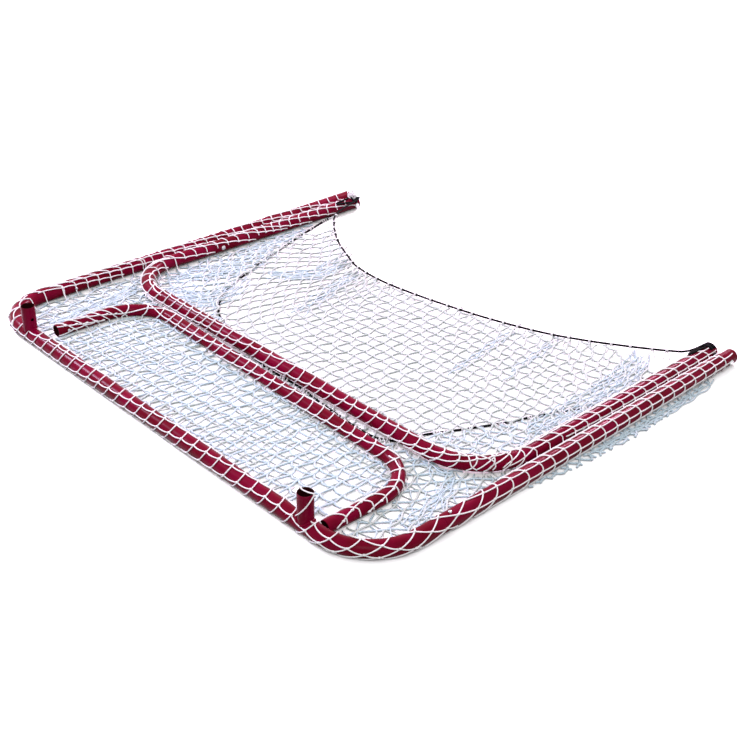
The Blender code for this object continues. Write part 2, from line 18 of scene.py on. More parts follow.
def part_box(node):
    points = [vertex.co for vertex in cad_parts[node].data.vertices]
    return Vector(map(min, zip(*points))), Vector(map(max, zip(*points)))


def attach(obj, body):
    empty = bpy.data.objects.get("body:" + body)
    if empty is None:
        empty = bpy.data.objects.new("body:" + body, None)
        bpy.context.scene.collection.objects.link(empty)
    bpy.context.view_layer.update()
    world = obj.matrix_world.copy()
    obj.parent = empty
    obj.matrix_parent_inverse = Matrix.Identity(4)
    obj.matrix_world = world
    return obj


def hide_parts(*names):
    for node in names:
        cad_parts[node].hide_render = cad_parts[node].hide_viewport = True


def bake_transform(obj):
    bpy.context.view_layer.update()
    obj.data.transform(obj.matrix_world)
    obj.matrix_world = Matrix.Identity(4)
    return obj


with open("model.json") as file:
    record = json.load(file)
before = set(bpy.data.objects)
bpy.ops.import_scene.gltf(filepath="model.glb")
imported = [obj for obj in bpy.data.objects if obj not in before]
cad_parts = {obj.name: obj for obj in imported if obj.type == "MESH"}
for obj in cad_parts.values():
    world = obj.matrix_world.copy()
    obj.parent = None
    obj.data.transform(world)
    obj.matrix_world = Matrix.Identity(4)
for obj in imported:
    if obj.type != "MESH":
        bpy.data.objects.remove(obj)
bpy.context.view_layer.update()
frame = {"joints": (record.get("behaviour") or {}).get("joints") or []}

# %% [markdown]
# The folded goal has three U shapes of tube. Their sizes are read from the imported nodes'
# boxes and joints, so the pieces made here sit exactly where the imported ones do. What a box
# doesn't show is typed: bends, walls, the shelf's legs, clearances and the twine's thickness.

# %% Read the tubes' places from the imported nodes
post_low, post_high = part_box("right_post")
bar_low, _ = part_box("crossbar")
arm_low, arm_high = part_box("right_base_arm")
base_low, base_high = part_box("base_bar")
_, shelf_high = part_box("top_shelf")
joints = {joint["name"]: joint for joint in frame["joints"]}

FRAME_RADIUS = (post_high.z - post_low.z) / 2
POST_X = (post_low.x + post_high.x) / 2
CROSSBAR_Y = bar_low.y + FRAME_RADIUS
FOOT_Y = post_high.y
POST_JOINT_Y = post_low.y
FRAME_BEND = 0.136

BASE_RADIUS = (arm_high.x - arm_low.x) / 2
ARM_X = (arm_low.x + arm_high.x) / 2
BASE_BAR_Y = base_low.y + BASE_RADIUS
BASE_BAR_Z = base_high.z - BASE_RADIUS
ARM_END_Y = arm_high.y
ARM_JOINT_Y = arm_low.y
BASE_BEND = 0.152
HINGE_Y, HINGE_Z = joints["base_fold"]["pos_m"][1:]

SHELF_RADIUS = shelf_high.z / 2
SHELF_BEND = 0.119
SHELF_LEG_X = 0.533
SHELF_LEG = 0.2617
SHELF_PIVOT = Vector(joints["shelf_swing"]["pos_m"])
SHELF_TURN = atan2(joints["shelf_swing"]["axis"][1], joints["shelf_swing"]["axis"][0])

FRAME_WALL, BASE_WALL, SHELF_WALL, SOCKET_WALL = 0.0016, 0.0015, 0.0014, 0.0014
CLEARANCE = 0.0003
LIP = 0.0006
TWINE_RADIUS = 0.0015
SLACK_RADIUS = 0.0026
CORD_RADIUS = 0.0028
FLOOR_GAP = 0.0002

print("post x", round(POST_X, 4), "arm x", round(ARM_X, 4), "shelf turn", round(degrees(SHELF_TURN), 2))

# %% [markdown]
# Three helpers serve every material. One turns the hex colour that a painter would write into
# the linear numbers that Blender mixes with. One sets a node's inputs, and one adds a node
# with its options, its inputs and, on a colour ramp, its stops.

# %% Colours and nodes
def linear(hexcode):
    """An sRGB hex colour as linear red, green, blue and alpha 1, by the sRGB curve."""
    parts = np.array([int(hexcode[i : i + 2], 16) / 255 for i in (0, 2, 4)])
    curve = np.where(parts <= 0.04045, parts / 12.92, ((parts + 0.055) / 1.055) ** 2.4)
    return (*(float(part) for part in curve), 1.0)


def feed(tree, node, inputs):
    """Set a node's inputs: a number or a colour as its value, a socket as a link."""
    for name, value in inputs.items():
        if isinstance(value, bpy.types.NodeSocket):
            tree.links.new(value, node.inputs[name])
        else:
            node.inputs[name].default_value = value


def add(tree, kind, inputs=None, stops=(), **options):
    """Add a node with its options and inputs; a ramp's stops are places and hex colours."""
    node = tree.nodes.new(kind)
    for name, value in options.items():
        setattr(node, name, value)
    feed(tree, node, inputs or {})
    for element, (place, hexcode) in zip(node.color_ramp.elements if stops else (), stops):
        element.position, element.color = place, linear(hexcode)
    return node


def new_material(name, hexcode, roughness, metallic=0.0):
    """A Principled material and its node tree and shader, ready for its pattern."""
    material = bpy.data.materials.new(name)
    material.use_nodes = True
    tree = material.node_tree
    shader = tree.nodes["Principled BSDF"]
    feed(tree, shader, {"Base Color": linear(hexcode), "Roughness": roughness, "Metallic": metallic})
    return material, tree, shader


def seen_directly(tree):
    """1 for what the camera, mirrors and glass see, and 0 for the rays that light the goal."""
    path = add(tree, "ShaderNodeLightPath")
    seen = path.outputs["Is Camera Ray"]
    for ray in ("Is Glossy Ray", "Is Transmission Ray"):
        seen = add(tree, "ShaderNodeMath", {0: seen, 1: path.outputs[ray]}, operation="MAXIMUM").outputs[0]
    return seen


print("crimson as linear numbers:", [round(part, 3) for part in linear("6E0322")])

# %% [markdown]
# Powder coat is a dry paint, sprayed on as dust and melted in an oven. It flows into a thick
# glossy skin, but never quite flat: it keeps a soft dimpled wave about 3 mm across that
# painters call orange peel. The wave is a bump from noise, and a slower noise varies the
# colour a little, as where the powder lay thicker. Inside the bores the colour is painted
# near black, as painted shade.

# %% Finish: gloss crimson powder coat
def crimson_powder_coat():
    """Gloss polyester powder coat on steel: saturated red, faint orange peel, and painted shade that makes it near
    black in a bore.
    """
    material, tree, shader = new_material("crimson_powder_coat", "6E0322", 0.24)
    spot = add(tree, "ShaderNodeTexCoord").outputs["Object"]
    cloud = add(tree, "ShaderNodeTexNoise", {"Vector": spot, "Scale": 14.0, "Detail": 3.0})
    reds = ((0.35, "66021A"), (0.7, "7C032E"))
    tint = add(tree, "ShaderNodeValToRGB", {"Fac": cloud.outputs["Fac"]}, reds)
    # Inside the bore the coat is mixed towards near black: painted shade where little light gets in.
    bore = add(tree, "ShaderNodeAttribute", attribute_name="bore")
    bore_shade_tones = {"Factor": bore.outputs["Fac"], "A": tint.outputs["Color"], "B": linear("2A0A0C")}
    coat = add(tree, "ShaderNodeMix", bore_shade_tones, data_type="RGBA")
    peel = add(tree, "ShaderNodeTexNoise", {"Vector": spot, "Scale": 330.0, "Detail": 1.0})
    bump = add(tree, "ShaderNodeBump", {"Height": peel.outputs["Fac"], "Strength": 0.05, "Distance": 0.0004})
    feed(tree, shader, {"Base Color": coat.outputs["Result"], "Normal": bump.outputs["Normal"], "IOR": 1.12})
    return material


PAINT = crimson_powder_coat()
print("made", PAINT.name)

# %% [markdown]
# The bolts, nuts and spring buttons are zinc plated steel. Bright zinc is a thin crystalline
# layer, so it reflects like brushed metal, with small clouds of duller grey.

# %% Finish: bright zinc plate
def zinc_plate():
    """Zinc plated steel: metallic, mid roughness that varies from spot to spot."""
    material, tree, shader = new_material("zinc_plated_steel", "C9CBCB", 0.32, 1.0)
    spot = add(tree, "ShaderNodeTexCoord").outputs["Object"]
    cloud = add(tree, "ShaderNodeTexNoise", {"Vector": spot, "Scale": 420.0, "Detail": 4.0})
    dull = add(tree, "ShaderNodeMapRange", {"Value": cloud.outputs["Fac"], "To Min": 0.22, "To Max": 0.46})
    bump = add(tree, "ShaderNodeBump", {"Height": cloud.outputs["Fac"], "Strength": 0.1, "Distance": 0.0002})
    feed(tree, shader, {"Roughness": dull.outputs["Result"], "Normal": bump.outputs["Normal"]})
    return material


ZINC = zinc_plate()
print("made", ZINC.name)

# %% [markdown]
# The plugs in the tubes' ends and the hinge spacers are moulded polyethylene. Its mould was
# spark eroded, which leaves a fine satin grain of about 0.3 mm.

# %% Finish: black moulded plastic
def black_plastic():
    """Moulded black polyethylene: soft sheen over a fine spark-eroded grain."""
    material, tree, shader = new_material("black_plastic", "1C1C1E", 0.45)
    spot = add(tree, "ShaderNodeTexCoord").outputs["Object"]
    grain = add(tree, "ShaderNodeTexNoise", {"Vector": spot, "Scale": 3000.0, "Detail": 2.0})
    bump = add(tree, "ShaderNodeBump", {"Height": grain.outputs["Fac"], "Strength": 0.25, "Distance": 0.0001})
    feed(tree, shader, {"Normal": bump.outputs["Normal"]})
    return material


PLASTIC = black_plastic()
print("made", PLASTIC.name)

# %% [markdown]
# The net is knotted from white polyethylene twine, three strands laid together like a small
# rope, with a lay of about 7 mm. The strand's own UV map runs in metres along it, so a slanted
# wave of that length turns round the twine and gives the grooves between the strands, which are
# painted darker as painted shade. The net on the floor is painted greyer and its folds painted
# bluer, as painted shade for the shade that lies between their layers.

# %% Finish: laid white twine
TWINE_LAY = 0.007


def slanted_wave(tree, repeat, turns):
    """A wave that climbs round a cord.

    The wave is the sine of two pi times the length over repeat, plus two pi times the turns
    times the share of the way around.
    """
    uv = add(tree, "ShaderNodeTexCoord").outputs["UV"]
    parts = add(tree, "ShaderNodeSeparateXYZ", {"Vector": uv})
    along = add(tree, "ShaderNodeMath", {0: parts.outputs["X"], 1: 2 * pi / repeat}, operation="MULTIPLY")
    around = {0: parts.outputs["Y"], 1: 2 * pi * turns, 2: along.outputs[0]}
    phase = add(tree, "ShaderNodeMath", around, operation="MULTIPLY_ADD")
    return add(tree, "ShaderNodeMath", {0: phase.outputs[0]}, operation="SINE").outputs[0]


def shade_and_bump_skin(tree, shader, wave, stops, strength):
    """Colour a skin by a wave between -1 and 1, from painted shade where it is low to light where it is high, and raise
    it by up to 0.3 mm.
    """
    level = add(tree, "ShaderNodeMapRange", {"Value": wave, "From Min": -1.0, "From Max": 1.0})
    tint = add(tree, "ShaderNodeValToRGB", {"Fac": level.outputs["Result"]}, stops)
    bump = add(tree, "ShaderNodeBump", {"Height": wave, "Strength": strength, "Distance": 0.0003})
    feed(tree, shader, {"Base Color": tint.outputs["Color"], "Normal": bump.outputs["Normal"]})


def white_twine(name, groove, crown):
    """Laid polyethylene twine: matte, a little translucent, with painted shade that keeps the grooves darker than the
    crowns.
    """
    material, tree, shader = new_material(name, crown, 0.7)
    glow = {"Subsurface Weight": 0.6, "Subsurface Scale": 0.002, "Subsurface Radius": (1.0, 1.0, 1.0)}
    feed(tree, shader, glow)
    shade_and_bump_skin(tree, shader, slanted_wave(tree, TWINE_LAY, 3), ((0.0, groove), (0.4, crown)), 0.5)
    return material


# The slack and folded copies are the same white twine, painted greyer and bluer as painted shade for the shade between
# the net's layers on the floor.
TWINE = white_twine("white_twine", "E2E0E2", "FBF8FA")
SHADED_SLACK_TWINE = white_twine("white_twine_slack_shaded", "BAC3C0", "CAD2D0")
SHADED_FOLD_TWINE = white_twine("white_twine_folded_shaded", "B2C4CF", "CBDCE6")
print("made", TWINE.name, SHADED_SLACK_TWINE.name, "and", SHADED_FOLD_TWINE.name)

# %% [markdown]
# The two black cords are rubber under a braided sheath. Two sets of slanted bands that climb
# opposite ways cross into the braid's diamonds, each about 2 mm long. Between the bands the
# colour is painted darker, as painted shade.

# %% Finish: braided black elastic
BRAID_REPEAT = 0.004


def black_elastic():
    """Braided black polyester over rubber: crossed bands, painted darker between them as painted shade, so a little
    lighter on their crowns.
    """
    material, tree, shader = new_material("black_elastic", "060608", 0.8)
    bands = {0: slanted_wave(tree, BRAID_REPEAT, 4), 1: slanted_wave(tree, BRAID_REPEAT, -4)}
    crossed = add(tree, "ShaderNodeMath", bands, operation="MULTIPLY").outputs[0]
    shade_and_bump_skin(tree, shader, crossed, ((0.0, "020203"), (1.0, "0D0E12")), 0.6)
    feed(tree, shader, {"IOR": 1.2})
    return material


ELASTIC = black_elastic()
print("made", ELASTIC.name)

# %% [markdown]
# Each U of tube has a centre line: up one leg, round a quarter circle, along the bar and down
# the other leg. Every strand, fitting and tube wall is then placed by two numbers, the length
# run along the line and the angle around the tube, where 90 degrees is the top.

# %% Centre lines of the three U shapes
BEND_STEPS = 24


def u_line(leg_x, bend, leg, flipped=False):
    """A U's centre line in its own plane, from the left leg's end round to the right leg's end.

    The bar lies on y = 0 and the legs point along +y, or along -y where flipped. Each quarter
    circle's points are its centre minus the bend's radius times cosine and sine. side is the
    unit vector that points right of the way of travel.
    """
    turn = np.linspace(0, pi / 2, BEND_STEPS + 1)
    arc_x, arc_y = leg_x - bend + bend * np.cos(turn), bend - bend * np.sin(turn)
    x = np.concatenate([[-leg_x], -arc_x, arc_x[::-1], [leg_x]])
    y = np.concatenate([[leg], arc_y, arc_y[::-1], [leg]])
    out_x = np.concatenate([[-1], -np.cos(turn), np.cos(turn[::-1]), [1]])
    out_y = np.concatenate([[0], -np.sin(turn), -np.sin(turn[::-1]), [0]])
    side = np.stack([out_x, out_y], axis=-1)
    if flipped:
        y = -y
        side = -side * (1, -1)
    run = np.concatenate([[0], np.cumsum(np.hypot(np.diff(x), np.diff(y)))])
    return {"x": x, "y": y, "side": side, "run": run}


def lay_line(line, origin, turn, height):
    """Put a U's centre line in the goal's frame: turn it in its plane, shift it, give its height."""
    flat_turn = np.array([[cos(turn), sin(turn)], [-sin(turn), cos(turn)]])
    where = np.stack([line["x"], line["y"]], axis=-1) @ flat_turn + np.array(origin)
    side = np.column_stack([line["side"] @ flat_turn, 0 * line["x"]])
    return {"points": np.column_stack([where, height(where[:, 1])]), "side": side, "run": line["run"]}


def along_line(line, run):
    """The centre and the side vector at each length along a line, by linear interpolation."""
    centre = np.stack([np.interp(run, line["run"], line["points"][:, axis]) for axis in range(3)], axis=-1)
    side = np.stack([np.interp(run, line["run"], line["side"][:, axis]) for axis in range(3)], axis=-1)
    return centre, side / np.linalg.norm(side, axis=-1, keepdims=True)


def on_tube(line, run, angle, reach):
    """Points at a reach from a tube's centre line, and the outward direction there.

    The direction is side times cosine plus up times sine of the angle in degrees.
    """
    run, angle, reach = np.broadcast_arrays(run, angle, reach)
    centre, side = along_line(line, run)
    turn = np.radians(angle)[..., None]
    out = side * np.cos(turn) + np.array([0.0, 0.0, 1.0]) * np.sin(turn)
    return centre + out * reach[..., None], out


def base_height(y):
    """The base frame slopes a little, from its bar on the cord down to the hinge."""
    return HINGE_Z + (HINGE_Y - y) * (BASE_BAR_Z - HINGE_Z) / (HINGE_Y - BASE_BAR_Y)


shelf_origin = (SHELF_PIVOT.x - SHELF_LEG * sin(SHELF_TURN), SHELF_PIVOT.y + SHELF_LEG * cos(SHELF_TURN))
front_u = u_line(POST_X, FRAME_BEND, FOOT_Y - CROSSBAR_Y)
base_u = u_line(ARM_X, BASE_BEND, ARM_END_Y - BASE_BAR_Y)
shelf_u = u_line(SHELF_LEG_X, SHELF_BEND, SHELF_LEG, flipped=True)
FRONT = lay_line(front_u, (0, CROSSBAR_Y), 0, lambda y: FRAME_RADIUS + 0 * y)
BASE = lay_line(base_u, (0, BASE_BAR_Y), 0, base_height)
SHELF = lay_line(shelf_u, shelf_origin, SHELF_TURN, lambda y: SHELF_RADIUS + 0 * y)
for word, line in (("front", FRONT), ("base", BASE), ("shelf", SHELF)):
    print(word, "centre line, metres:", round(float(line["run"][-1]), 4))

# %% [markdown]
# A mesh is a list of points and a list of faces. The points come as whole arrays, ring after
# ring, and each face joins two neighbours on one ring with two on the next. The last ring can
# join the first, which makes a closed loop such as a tube's wall, or a flat face closes each end.

# %% Surfaces from rings of points
TUBE_SIDES = 48
SHARP_EDGE = 40


def ring_quads(rings, sides, loop=False):
    """Quads between neighbouring rings, and each corner's ring and side number.

    Point (ring, side) has the number ring times sides plus side. The side number of a corner
    runs on to sides where the quad closes the ring, so that a UV map doesn't jump back.
    """
    ring = np.arange(rings if loop else rings - 1)[:, None] + np.zeros(sides, int)
    side = np.arange(sides)[None, :] + 0 * ring
    ring_of = np.stack([ring, ring + 1, ring + 1, ring], axis=-1).reshape(-1, 4)
    side_of = np.stack([side, side, side + 1, side + 1], axis=-1).reshape(-1, 4)
    return (ring_of % rings) * sides + side_of % sides, ring_of, side_of


def mesh_volume(mesh):
    """Six times the volume inside a mesh: the triple product of each triangle's corners, summed."""
    mesh.calc_loop_triangles()
    corners = np.zeros(len(mesh.loop_triangles) * 3, dtype=np.int64)
    mesh.loop_triangles.foreach_get("vertices", corners)
    spots = np.zeros(len(mesh.vertices) * 3)
    mesh.vertices.foreach_get("co", spots)
    a, b, c = spots.reshape(-1, 3)[corners].reshape(-1, 3, 3).transpose(1, 0, 2)
    return float(np.einsum("ij,ij->i", a, np.cross(b, c)).sum())


def make_piece(name, points, faces, material, uv=None, sharp=None):
    """A mesh object from points and faces, smooth shaded, facing outwards, with its material."""
    mesh = bpy.data.meshes.new(name)
    mesh.from_pydata(points, [], faces)
    if uv is not None:
        mesh.uv_layers.new(name="UVMap").data.foreach_set("uv", np.asarray(uv, np.float32).ravel())
    if mesh_volume(mesh) < 0:
        mesh.flip_normals()
    mesh.shade_smooth()
    if sharp:
        mesh.set_sharp_from_angle(angle=radians(sharp))
    mesh.materials.append(material)
    piece = bpy.data.objects.new(name, mesh)
    bpy.context.scene.collection.objects.link(piece)
    return piece


def ring_piece(name, rings, material, loop=True, sharp=None):
    """A piece from rings of points: the last ring joins the first, or a flat face closes each end."""
    count, sides = rings.shape[:2]
    faces = ring_quads(count, sides, loop)[0].tolist()
    if not loop:
        last = (count - 1) * sides
        faces += [list(range(sides)), list(range(last, last + sides))[::-1]]
    return make_piece(name, rings.reshape(-1, 3), faces, material, sharp=sharp)


def mark_bore_shade(piece, rings, outside):
    """Mark the points past a tube's outside rings with 1, where the coat is painted near black as painted shade in the
    bore.
    """
    marks = np.repeat(np.arange(rings) >= outside, TUBE_SIDES).astype(np.float32)
    piece.data.attributes.new("bore", "FLOAT", "POINT").data.foreach_set("value", marks)


def swept_tube(name, line, runs, radii):
    """A tube's skin: rings along a centre line, each with its own radius, out and back in the bore."""
    runs, radii = np.asarray(runs, float), np.asarray(radii, float)
    angle = np.arange(TUBE_SIDES) * 360.0 / TUBE_SIDES
    points, _ = on_tube(line, runs[:, None], angle[None, :], radii[:, None])
    piece = ring_piece(name, points, PAINT, sharp=SHARP_EDGE)
    mark_bore_shade(piece, len(runs), len(runs) // 2)
    return piece


def open_tube(name, line, start, end, radius, wall, holes=(), step=0.0):
    """An open tube along a line: out along its outside, and back along its bore, with soft lips.

    Five extra rings stand a step apart round each hole, so that its cut stays clean.
    """
    inside = line["run"][(line["run"] > start + 2 * LIP) & (line["run"] < end - 2 * LIP)]
    there = np.concatenate([[start, start + LIP], inside, [end - LIP, end]])
    outer = np.concatenate([[radius - LIP, radius], np.full(len(inside), radius), [radius, radius - LIP]])
    for run in [hole + step * number for hole in holes for number in range(-2, 3)]:
        spot = np.searchsorted(there, run)
        there, outer = np.insert(there, spot, run), np.insert(outer, spot, radius)
    runs, radii = np.concatenate([there, there[::-1]]), np.concatenate([outer, outer[::-1] - wall])
    return swept_tube(name, line, runs, radii)


def spokes(way, sides):
    """Unit vectors around an axis: one across it times cosine, plus the next times sine."""
    across = np.cross(way, (0.31, 0.23, 0.92))
    across /= np.linalg.norm(across)
    angle = np.arange(sides)[:, None] * 2 * pi / sides
    return across * np.cos(angle) + np.cross(way, across) * np.sin(angle)


def turned(name, start, way, profile, material, sides=32, loop=False, sharp=SHARP_EDGE):
    """A turned part: each (distance, radius) pair of the profile is a ring about the axis."""
    start, way, profile = (np.array(part, float) for part in (start, way, profile))
    points = start + profile[:, 0, None, None] * way + profile[:, 1, None, None] * spokes(way, sides)[None]
    return ring_piece(name, points, material, loop, sharp)


def cut_out(piece, cutter):
    """Take a cutter's shape out of a piece, and throw the cutter away."""
    modifier = piece.modifiers.new("hole", "BOOLEAN")
    modifier.operation, modifier.solver, modifier.object = "DIFFERENCE", "EXACT", cutter
    bpy.context.view_layer.update()
    mesh = bpy.data.meshes.new_from_object(piece.evaluated_get(bpy.context.evaluated_depsgraph_get()))
    piece.modifiers.clear()
    piece.data = mesh
    mesh.set_sharp_from_angle(angle=radians(SHARP_EDGE))
    bpy.data.objects.remove(cutter, do_unlink=True)


print("surface helpers ready")

# %% [markdown]
# The front frame is the crossbar with its bent corners and the two posts. The posts slide over
# narrower spigots on the crossbar's legs, so each joint shows as a fine seam round the tube.
# Each open tube is one closed skin: outside, lip, bore and lip again.

# %% The front frame's tubes
SPIGOT_RADIUS = FRAME_RADIUS - FRAME_WALL - CLEARANCE
SPIGOT_LENGTH = 0.060
BUTTON_RADIUS = 0.004
BUTTON_FROM_JOINT = 0.022
POST_HOLE_STEP = 0.006
front_total = float(FRONT["run"][-1])
post_run = FOOT_Y - POST_JOINT_Y


def make_crossbar():
    """The crossbar with its bends, stepped down at both ends where it enters the posts."""
    first, last = post_run + CLEARANCE, front_total - post_run - CLEARANCE
    middle = list(FRONT["run"][(FRONT["run"] > first + 0.01) & (FRONT["run"] < last - 0.01)])
    runs = [first - SPIGOT_LENGTH, first - SPIGOT_LENGTH + LIP, first, first, first + LIP]
    radii = [SPIGOT_RADIUS - LIP, SPIGOT_RADIUS, SPIGOT_RADIUS, FRAME_RADIUS - LIP, FRAME_RADIUS]
    runs = runs + middle + [front_total - run for run in reversed(runs)]
    radii = radii + [FRAME_RADIUS] * len(middle) + radii[::-1]
    runs = runs + [runs[-1], *reversed(middle), runs[0]]
    radii = radii + [SPIGOT_RADIUS - FRAME_WALL] * (len(middle) + 2)
    return swept_tube("crossbar_tube", FRONT, runs, radii)


crossbar = make_crossbar()
far_run, post_wall = front_total - post_run, (FRAME_RADIUS, FRAME_WALL)
holes = [post_run - BUTTON_FROM_JOINT], [far_run + BUTTON_FROM_JOINT]
left_post = open_tube("left_post_tube", FRONT, 0.0, post_run, *post_wall, holes[0], POST_HOLE_STEP)
right_post = open_tube("right_post_tube", FRONT, far_run, front_total, *post_wall, holes[1], POST_HOLE_STEP)
for piece, node in ((crossbar, "crossbar"), (left_post, "left_post"), (right_post, "right_post")):
    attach(piece, "front_frame")
    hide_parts(node)
print("crossbar faces:", len(crossbar.data.polygons), "post faces:", len(left_post.data.polygons))

# %% [markdown]
# The base frame is a second U inside the first. Its bar and bends are one tube, and each arm
# is another, pushed over a spigot and held by a bolt. The shelf is a thinner U with open ends.

# %% The base frame's tubes and the top shelf
BUTTON_FROM_LEG_END = 0.027
LEG_HOLE_STEP = 0.005
base_total = float(BASE["run"][-1])
shelf_total = float(SHELF["run"][-1])
arm_run = ARM_END_Y - ARM_JOINT_Y
far_run, base_wall = base_total - arm_run, (BASE_RADIUS, BASE_WALL)
base_bar = open_tube("base_bar_tube", BASE, arm_run + CLEARANCE, far_run - CLEARANCE, *base_wall)
left_arm = open_tube("left_base_arm_tube", BASE, 0.0, arm_run, *base_wall)
right_arm = open_tube("right_base_arm_tube", BASE, far_run, base_total, *base_wall)
holes = [BUTTON_FROM_LEG_END, shelf_total - BUTTON_FROM_LEG_END]
shelf = open_tube("top_shelf_tube", SHELF, 0.0, shelf_total, SHELF_RADIUS, SHELF_WALL, holes, LEG_HOLE_STEP)
for piece, node in ((base_bar, "base_bar"), (left_arm, "left_base_arm"), (right_arm, "right_base_arm")):
    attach(piece, "base_frame")
    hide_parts(node)
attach(shelf, "shelf")
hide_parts("top_shelf")
print("base bar faces:", len(base_bar.data.polygons), "shelf faces:", len(shelf.data.polygons))

# %% [markdown]
# The sockets are two short upright tubes welded on the crossbar, which take the shelf's legs
# when the goal stands. Each is turned about its own axis. The weld is a rippled bead that
# follows the line where the two tubes meet: a point at angle t round the socket sits at the
# crossbar's height there, the square root of its radius squared less the sideways part squared.

# %% The shelf sockets and their welds
HOLE_RADIUS = 0.0043
HOLE_DEPTH = 0.02
WELD_RADIUS = 0.0026
WELD_RIPPLES = 46
WELD_RINGS, WELD_SIDES = 96, 12


def cut_hole(piece, spot, way, depth=HOLE_DEPTH):
    """Drill a spring button's hole through one wall, from a spot in the bore outwards."""
    cut_out(piece, turned("drill", spot, way, [(0, HOLE_RADIUS), (depth, HOLE_RADIUS)], PAINT, 24))


def make_socket(word, side):
    """An upright open tube that ends below in the crossbar's top, with its spring button's hole."""
    low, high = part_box(word + "_shelf_socket")
    radius, x = (high.x - low.x) / 2, (low.x + high.x) / 2
    bore, lip, top = radius - SOCKET_WALL, 0.0005, high.z
    foot, low_ring, ring, high_ring = (FRAME_RADIUS + 0.004 + rise for rise in (0, 0.02, 0.035, 0.05))
    outside = [(foot, radius), (low_ring, radius), (ring, radius), (high_ring, radius)]
    outside += [(top - lip, radius), (top, radius - lip)]
    inside = [(top, bore + lip), (top - lip, bore), (high_ring, bore), (low_ring, bore), (foot, bore)]
    name, foot_spot = word + "_shelf_socket_tube", (x, CROSSBAR_Y, 0)
    socket = turned(name, foot_spot, (0, 0, 1), outside + inside, PAINT, TUBE_SIDES, loop=True)
    mark_bore_shade(socket, len(outside + inside), len(outside))
    hole_z = 2 * FRAME_RADIUS + CLEARANCE + BUTTON_FROM_LEG_END
    cut_hole(socket, (x - side * radius * 0.5, CROSSBAR_Y, hole_z), (-side, 0, 0), 0.03)
    return socket, x, radius


def make_weld(word, x, radius):
    """A bead round the socket's foot, whose line follows the crossbar's round top.

    Its thickness is its radius times one plus a tenth of the cosine of the ripples' angle.
    """
    turn = np.linspace(0, 2 * pi, WELD_RINGS + 1)[:-1]
    reach = radius + WELD_RADIUS * 0.3
    across = reach * np.sin(turn)
    height = FRAME_RADIUS + np.sqrt(np.maximum(FRAME_RADIUS**2 - across**2, 0)) + WELD_RADIUS * 0.15
    centre = np.stack([x + reach * np.cos(turn), CROSSBAR_Y + across, height], axis=-1)
    out = np.stack([np.cos(turn), np.sin(turn), 0 * turn], axis=-1)
    thick = WELD_RADIUS * (1 + 0.10 * np.cos(WELD_RIPPLES * turn))[:, None, None]
    angle = np.linspace(0, 2 * pi, WELD_SIDES + 1)[:-1][None, :, None]
    points = centre[:, None] + thick * (out[:, None] * np.cos(angle) + np.array([0, 0, 1.0]) * np.sin(angle))
    return ring_piece(word + "_socket_weld", points, PAINT)


for word, side in (("left", -1), ("right", 1)):
    socket, x, radius = make_socket(word, side)
    weld = make_weld(word, x, radius)
    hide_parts(word + "_shelf_socket")
    for piece in (socket, weld):
        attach(piece, "front_frame")
    print(word, "socket at x", round(x, 4), "outer radius", round(radius, 4))

# %% [markdown]
# The fittings are small, but they catch the light. A spring button is a stem with a domed tip.
# A carriage bolt has a mushroom head, a shank and cut threads, and its nut is a hexagon with
# turned corners. Each is a profile turned about its axis, with sizes in metres.

# %% Spring buttons
BUTTON_STAND_OUT = 0.0032
BUTTON_DOME = 0.0014
BUTTON_FLANGE = 0.0055
POLE_RADIUS = 0.00005


def dome(radius, height, start, steps=8):
    """A dome's profile from rim to pole, an ellipse: radius times cosine, height times sine."""
    turn = np.linspace(0, pi / 2, steps)
    return [(start + height * float(np.sin(t)), max(radius * float(np.cos(t)), POLE_RADIUS)) for t in turn]


def make_button(name, spot, way, skin, body):
    """A spring button: a flange behind the wall, a stem, and a domed tip that stands out."""
    tip = skin + BUTTON_STAND_OUT - BUTTON_DOME
    profile = [(skin - 0.0045, BUTTON_FLANGE), (skin - 0.0035, BUTTON_FLANGE)]
    profile += [(skin - 0.0033, BUTTON_RADIUS)] + dome(BUTTON_RADIUS, BUTTON_DOME, tip)
    button = turned(name, spot, way, profile, ZINC, 28)
    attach(button, body)
    return button


for word, post, way, spot_x in (
    ("left", left_post, (1, 0, 0), -POST_X),
    ("right", right_post, (0, 0, 1), POST_X),
):
    spot = Vector((spot_x, POST_JOINT_Y + BUTTON_FROM_JOINT, FRAME_RADIUS))
    cut_hole(post, spot + Vector(way) * 0.01, way)
    button = make_button(word + "_post_snap_button_dome", spot, way, FRAME_RADIUS, word + "_post_button")
    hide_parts(word + "_post_snap_button")

for word, side, run in (("left", -1, BUTTON_FROM_LEG_END), ("right", 1, shelf_total - BUTTON_FROM_LEG_END)):
    centre, _ = along_line(SHELF, np.array([run]))
    inward = Vector((-side * cos(SHELF_TURN), -side * sin(SHELF_TURN), 0))
    spot = Vector(centre[0])
    cut_hole(shelf, spot + inward * 0.008, inward)
    button = make_button(word + "_shelf_snap_button_dome", spot, inward, SHELF_RADIUS, word + "_shelf_button")
    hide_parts(word + "_shelf_snap_button")
print("buttons made, each standing out", 1000 * BUTTON_STAND_OUT, "mm")

# %% Bolts, nuts, spacers and plugs
BOLT_RADIUS = 0.004
HEAD_RADIUS, HEAD_HEIGHT = 0.00675, 0.0042
THREADED = 0.010
THREAD_PITCH, THREAD_DEPTH = 0.00125, 0.0006
NUT_ACROSS, NUT_THICK, NUT_CHAMFER = 0.013, 0.0052, 0.0006
NUT_BORE, NUT_MOUTH = 0.0041, 0.0047
NUT_SIDES = 48
ARM_BOLT_FROM_JOINT = 0.025
FOOT_PLUG_DEPTH, ARM_PLUG_DEPTH = 0.018, 0.010


